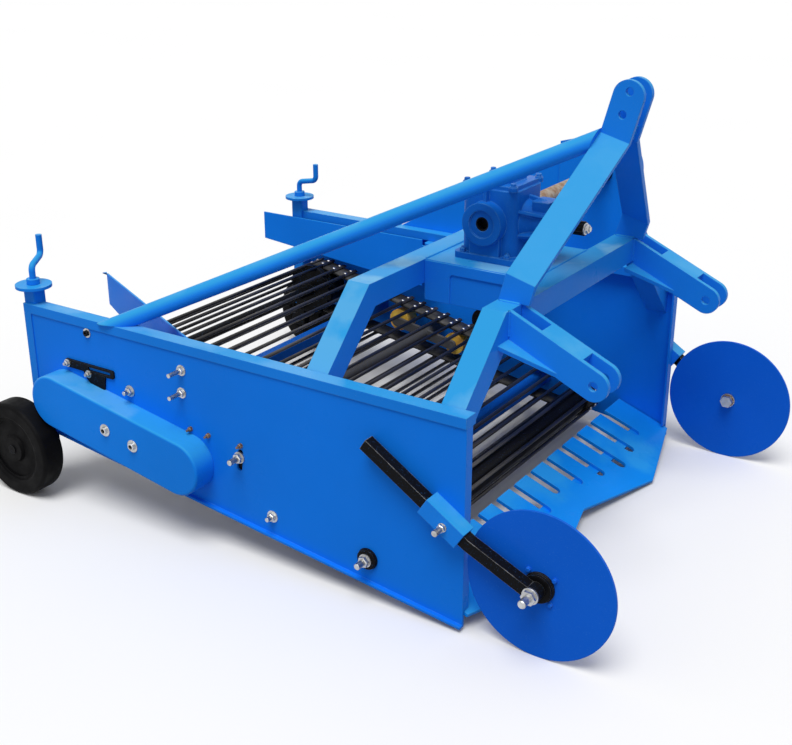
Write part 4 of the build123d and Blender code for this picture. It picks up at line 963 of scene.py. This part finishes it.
# Two socket screws hold the right chain case.
CASE_PROUD = -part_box("right_chain_case")[0].y - PLATE_FACE
CASE_SCREWS = ((1.016, 0.260), (0.922, 0.280))
CASE_WASHER = 0.0025
SOCKET_FLOOR = 0.002
RIGHT = (0, -1, 0)
for number, place in enumerate(CASE_SCREWS, start=1):
    turned(
        f"right_case_washer_{number}", on_plate("right", place, CASE_PROUD), RIGHT,
        flat_ring(CASE_WASHER, 0, 0.0165),
    )
    turned(
        f"right_case_screw_{number}", on_plate("right", place, CASE_PROUD + CASE_WASHER), RIGHT,
        [
            (0, 0), (0, 0.0095), (0.006, 0.0095), (0.007, 0.0085), (0.007, 0.006),
            (SOCKET_FLOOR, 0.0055), (SOCKET_FLOOR, 0),
        ],
    )
    # A black disc on each socket's floor is painted shade in the hole.
    turned(
        f"right_case_socket_{number}",
        on_plate("right", place, CASE_PROUD + CASE_WASHER + SOCKET_FLOOR), RIGHT,
        [(0, 0), (0, 0.0054), (0.0012, 0.0054), (0.0012, 0)], look=BLACK,
    )

# The chain is kept tight by a slotted strip over this case, with a leg that goes down behind it.
STRIP = 0.006
strip_back, strip_front = -0.645, -0.470
strip_foot, strip_top = 0.374, 0.397
slot_back, slot_front = -0.562, -0.482
SLOT_RAIL = 0.007  # the steel left above and below the slot
CORNER = 0.004
LAP = 0.001  # of one part of the strip into the next
back_part = [
    (strip_back, strip_foot + CORNER), (strip_back + CORNER, strip_foot), (slot_back, strip_foot),
    (slot_back, strip_top), (strip_back + CORNER, strip_top), (strip_back, strip_top - CORNER),
]
front_part = [
    (slot_front, strip_foot), (strip_front - CORNER, strip_foot),
    (strip_front, strip_foot + CORNER), (strip_front, strip_top - CORNER),
    (strip_front - CORNER, strip_top), (slot_front, strip_top),
]
rail_back, rail_front = slot_back - LAP, slot_front + LAP
slot_rails = [
    [(rail_back, low), (rail_front, low), (rail_front, high), (rail_back, high)]
    for low, high in ((strip_top - SLOT_RAIL, strip_top), (strip_foot, strip_foot + SLOT_RAIL))
]
leg = [
    (-0.580, strip_foot + 2 * LAP), (-0.574, 0.360), (-0.550, 0.338), (-0.508, 0.338),
    (-0.502, strip_foot + 2 * LAP),
]
bracket = flat_plate(
    "tension_bracket",
    [[(x, -PLATE_FACE, z) for x, z in part] for part in (back_part, *slot_rails, front_part, leg)],
    (0, -STRIP, 0), "frame", BLACK,
)
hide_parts("case_bracket")
STRIP_BOLTS = ((1.1985, 0.1355), (1.1225, 0.1500))
bolted(
    "bracket_bolts", [on_plate("right", place, STRIP) for place in STRIP_BOLTS], RIGHT,
    Across_Flats=0.013, Head=0.007, Washer=0.0105, Stud=0.004, Stud_Length=0.014, Seed=14,
)

# The front roller runs on a through bolt, with a black bush against each plate. The shaker
# shaft's left end shows in the same way.
BUSH = 0.011
shaker = middle_of("shaker_shaft")
axle_ends = (("left", FRONT_CENTRE), ("right", FRONT_CENTRE), ("left", shaker))
for number, (side, centre) in enumerate(axle_ends, start=1):
    sign = SIDES[side]
    turned(
        f"axle_bush_{number}", (centre.x, sign * PLATE_FACE, centre.z), (0, sign, 0),
        [(0, 0), (0, 0.026), (0.002, 0.027), (0.009, 0.025), (BUSH, 0.021), (BUSH, 0)], look=BLACK,
    )
    bolted(
        f"axle_nut_{number}", [(centre.x, sign * (PLATE_FACE + BUSH), centre.z)], (0, sign, 0),
        Across_Flats=0.024, Head=0.013, Washer=0.0165, Washer_Plate=0.003, Stud=0.008,
        Stud_Length=0.036, Seed=number,
    )

# A black cup sits deep in the bore of the unused output, as painted shade for the dark depth of
# its mouth.
BORE_MOUTH = -0.105  # on the gearbox's right side
BORE_DEPTH = 0.0298
LINER_RADIUS = 0.0172
LINER_LIP = 0.0138
turned(
    "output_bore_shade", (shaft.x, BORE_MOUTH, shaft.z), (0, 1, 0),
    [
        (0.0055, LINER_RADIUS), (0.0055, 0.0145), (0.012, LINER_LIP), (BORE_DEPTH - 0.002, LINER_LIP),
        (BORE_DEPTH - 0.002, 0), (BORE_DEPTH, 0), (BORE_DEPTH, LINER_RADIUS),
    ],
    look=BLACK,
)
bolted(
    "pto_nut", [(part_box("pto_shaft")[1].x, 0, shaft.z)], (1, 0, 0), Across_Flats=0.019, Head=0.009,
    Washer=0.0145, Stud=0.006, Stud_Length=0.014, Seed=11,
)

# --- Discs ----------------------------------------------------------------------------------------
# A flat cutting disc runs beside each end of the share on a bent square bar, which slides in a
# sleeve and is held there by a set bolt.

disc = middle_of("left_cutting_disc")
DISC_OUTSIDE = 0.5935  # outer face of the plate, from the machine's middle
BOSS = 0.0305  # radius
disc_blue = enamel("disc enamel", (0.005, 0.13, 0.74), tone=0.12, wear=0.5)

# The boss in the middle of each disc is black on its outer side.
tree = disc_blue.node_tree
place = made(tree, "ShaderNodeTexCoord").outputs["Object"]
flattened = on_vectors(tree, "MULTIPLY", place, (1, 0, 1)).outputs["Vector"]
from_axle = on_vectors(tree, "DISTANCE", flattened, (disc.x, 0, disc.z)).outputs["Value"]
on_boss = between(tree, from_axle, BOSS, BOSS + 0.0005, 1.0, 0.0)
sideways = maths(tree, "ABSOLUTE", made(tree, "ShaderNodeSeparateXYZ", Vector=place).outputs["Y"])
outside = between(tree, sideways, DISC_OUTSIDE + 0.0001, DISC_OUTSIDE + 0.0004)
paint_over(disc_blue, maths(tree, "MULTIPLY", on_boss, outside), (0.006, 0.006, 0.007))
# The arms' edges are painted near white, as a painted highlight along the glossy black.
arm_steel = enamel(
    "arm steel", (0.006, 0.006, 0.007), worn_and_lit_to=(0.55, 0.55, 0.56), tone=0.5, peel=0.12, wear=1.0
)
give(disc_blue, *both("cutting_disc"))
give(arm_steel, *both("disc_arm"))
give(hitch_blue, *both("disc_sleeve"))
give(zinc, *both("disc_axle"))

sleeve = middle_of("left_disc_sleeve")
SLEEVE_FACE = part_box("left_disc_sleeve")[1].y
SET_BOLT = (sleeve.x + 0.006, sleeve.z - 0.006)
for side, sign in SIDES.items():
    bolted(
        f"{side}_set_bolt", [(SET_BOLT[0], sign * SLEEVE_FACE, SET_BOLT[1])], (0, sign, 0),
        Across_Flats=0.017, Head=0.009, Washer=0.0105, Stud=0.007, Stud_Length=0.034, Seed=7,
    )

ARM_INSIDE, ARM_OUTSIDE = 0.608, 0.6361
COLLAR = ARM_INSIDE - DISC_OUTSIDE - 0.002  # it stops 2 mm short of the arm
COLLAR_BORE = 0.0302
AXLE_BORE = 0.0102
STAR_WASHER = 0.0160  # from the axle's inner end
DISC_BOLT_RING = 0.044  # radius of its circle of bolts
disc_bolt_turns = [radians(38 + 90 * i) for i in range(4)]
for side, sign in SIDES.items():
    out = (0, sign, 0)
    bolted(
        f"{side}_disc_bolts",
        [
            (
                disc.x + DISC_BOLT_RING * cos(turn),
                sign * DISC_OUTSIDE,
                disc.z + DISC_BOLT_RING * sin(turn),
            )
            for turn in disc_bolt_turns
        ],
        out, f"{side}_disc", ("blue_paint", disc_blue), Across_Flats=0.010, Head=0.005,
        Washer=0.0062, Washer_Plate=0.001, Stud=0.003, Stud_Length=0.002, Seed=4,
    )
    turned(
        f"{side}_disc_collar", (disc.x, sign * DISC_OUTSIDE, disc.z), out,
        [
            (0, COLLAR_BORE), (0, 0.036), (0.004, 0.036), (0.006, 0.033), (COLLAR, 0.033),
            (COLLAR, COLLAR_BORE),
        ],
        f"{side}_disc", BLACK,
    )
    axle_inner, axle_outer = sorted(abs(corner.y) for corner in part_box(f"{side}_disc_axle"))
    turned(
        f"{side}_axle_washer", (disc.x, sign * ARM_OUTSIDE, disc.z), out,
        flat_ring(0.003, AXLE_BORE, 0.0195),
    )
    turned(
        f"{side}_axle_thread", (disc.x, sign * axle_outer, disc.z), out,
        [(0, 0), (0, 0.0095), (0.026, 0.0095), (0.028, 0.0080), (0.028, 0)],
    )
    turned(
        f"{side}_star_washer", (disc.x, sign * (axle_inner + STAR_WASHER), disc.z), (0, -sign, 0),
        [(0, AXLE_BORE), (0, 0.0168), (0.0016, 0.0168), (0.0016, AXLE_BORE)],
        look=("zinc_steel", rusty_zinc), sides=36, teeth=0.14,
    )

# --- Wheels ---------------------------------------------------------------------------------------
# Solid rubber tyres are pressed on plain black hubs, and each turns on a stub at the foot of a
# square leg.

tyre_rubber = mottled(
    "tyre rubber", (0.0025, 0.0025, 0.003), (0.007, 0.007, 0.0075), ((14, 6), 0.45, 0.7),
    ((30, 4), 0.5, 0.75), Specular_IOR_Level=0.08,
)
roughen(tyre_rubber, 0.35, 0.0008, grain(tyre_rubber.node_tree, 300, 3))
give(tyre_rubber, *both("tyre", "wheel_hub"))
give(black_steel, *both("wheel_leg"))

# --- Deflector boards -----------------------------------------------------------------------------
# Two light boards hang on pins inside the plates and turn in to lay the crop in a narrow row.
# Each board's top edge is folded inwards, which keeps the thin sheet straight.

# The boards' blue is a little lighter than the plates', as painted light on boards that stand in
# shade, and their upward faces, the fold's top most of all, are painted paler as sky reflection.
board_blue = sheen_enamel(
    "board enamel", (0.008, 0.235, 0.98), spread=3.0, amount=0.3, sky_sheen=0.6, tone=0.15,
    shine=0.02,
)
give(board_blue, *both("board", "board_hinge"))

FOLD = 0.018
FOLD_SHEET = 0.003
FOLD_ROOT = 0.001  # this far into the board
HINGE_CUT, FREE_CUT = 0.012, 0.006  # how far its corners are cut back
for side, sign in SIDES.items():
    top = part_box(f"{side}_board")[1].z
    points = [vertex.co for vertex in frame["nodes"][f"{side}_board"].data.vertices]
    by_length = sorted((p for p in points if p.z > top - 0.0001), key=lambda corner: corner.x)
    free_end = min(by_length[:2], key=lambda corner: abs(corner.y))
    hinge_end = min(by_length[2:], key=lambda corner: abs(corner.y))
    along = (free_end - hinge_end).normalized()
    inwards = Vector((sign * -along.y, sign * along.x, 0))
    fold = [
        hinge_end - inwards * FOLD_ROOT,
        hinge_end + inwards * (FOLD - FOLD_ROOT) + along * HINGE_CUT,
        free_end + inwards * (FOLD - FOLD_ROOT) - along * FREE_CUT,
        free_end - inwards * FOLD_ROOT,
    ]
    flat_plate(
        f"{side}_board_fold", [fold], (0, 0, -FOLD_SHEET), f"{side}_deflector",
        ("blue_paint", board_blue), edge=0.0005,
    )

# --- Floor, light and camera ----------------------------------------------------------------------
# A pale floor under an even white sky, and one broad soft lamp overhead, a little to the
# machine's right.


def seen_directly(tree):
    """Is 1 where a surface is seen, also in metal or glass, and 0 where it only gives light."""
    path = made(tree, "ShaderNodeLightPath").outputs
    mirrored = maths(tree, "MAXIMUM", path["Is Glossy Ray"], path["Is Transmission Ray"])
    return maths(tree, "MAXIMUM", path["Is Camera Ray"], mirrored)


REACH = 30.0
corners = [(-REACH, -REACH, 0), (REACH, -REACH, 0), (REACH, REACH, 0), (-REACH, REACH, 0)]
floor_mesh = bpy.data.meshes.new("floor")
floor_mesh.from_pydata(corners, [], [(0, 1, 2, 3)])
floor = bpy.data.objects.new("floor", floor_mesh)
bpy.context.scene.collection.objects.link(floor)
floor_finish, tree, shader = new_finish("pale floor", Roughness=0.9, Specular_IOR_Level=0.1)
paleness = mixed(tree, grain(tree, 0.8), (0.93, 0.93, 0.93, 1), (0.96, 0.96, 0.96, 1))
fill(tree, shader, Base_Color=mixed(tree, seen_directly(tree), (0.34, 0.34, 0.35, 1), paleness))
floor_mesh.materials.append(floor_finish)

world = bpy.data.worlds.new("studio")
bpy.context.scene.world = world
world.use_nodes = True
tree = world.node_tree
sky = between(tree, seen_directly(tree), 0, 1, 0.46, 1.0)
fill(tree, tree.nodes["Background"], Color=(1, 1, 1, 1), Strength=sky)

overhead = bpy.data.lights.new("overhead", "SUN")
overhead.energy = 2.05
overhead.angle = radians(35)
lamp = bpy.data.objects.new("overhead", overhead)
lamp.rotation_euler = Vector((-0.12, 0.36, -0.92)).to_track_quat("-Z", "Y").to_euler()
bpy.context.scene.collection.objects.link(lamp)

eye = bpy.data.cameras.new("eye")
eye.lens = 54.8
eye.sensor_width = 36
camera = bpy.data.objects.new("eye", eye)
camera.location = (1.6875, -2.581, 1.552)
camera.rotation_euler = (radians(67.8), 0, radians(33.3))
bpy.context.scene.collection.objects.link(camera)
bpy.context.scene.camera = camera

bpy.context.scene.view_settings.view_transform = "Standard"
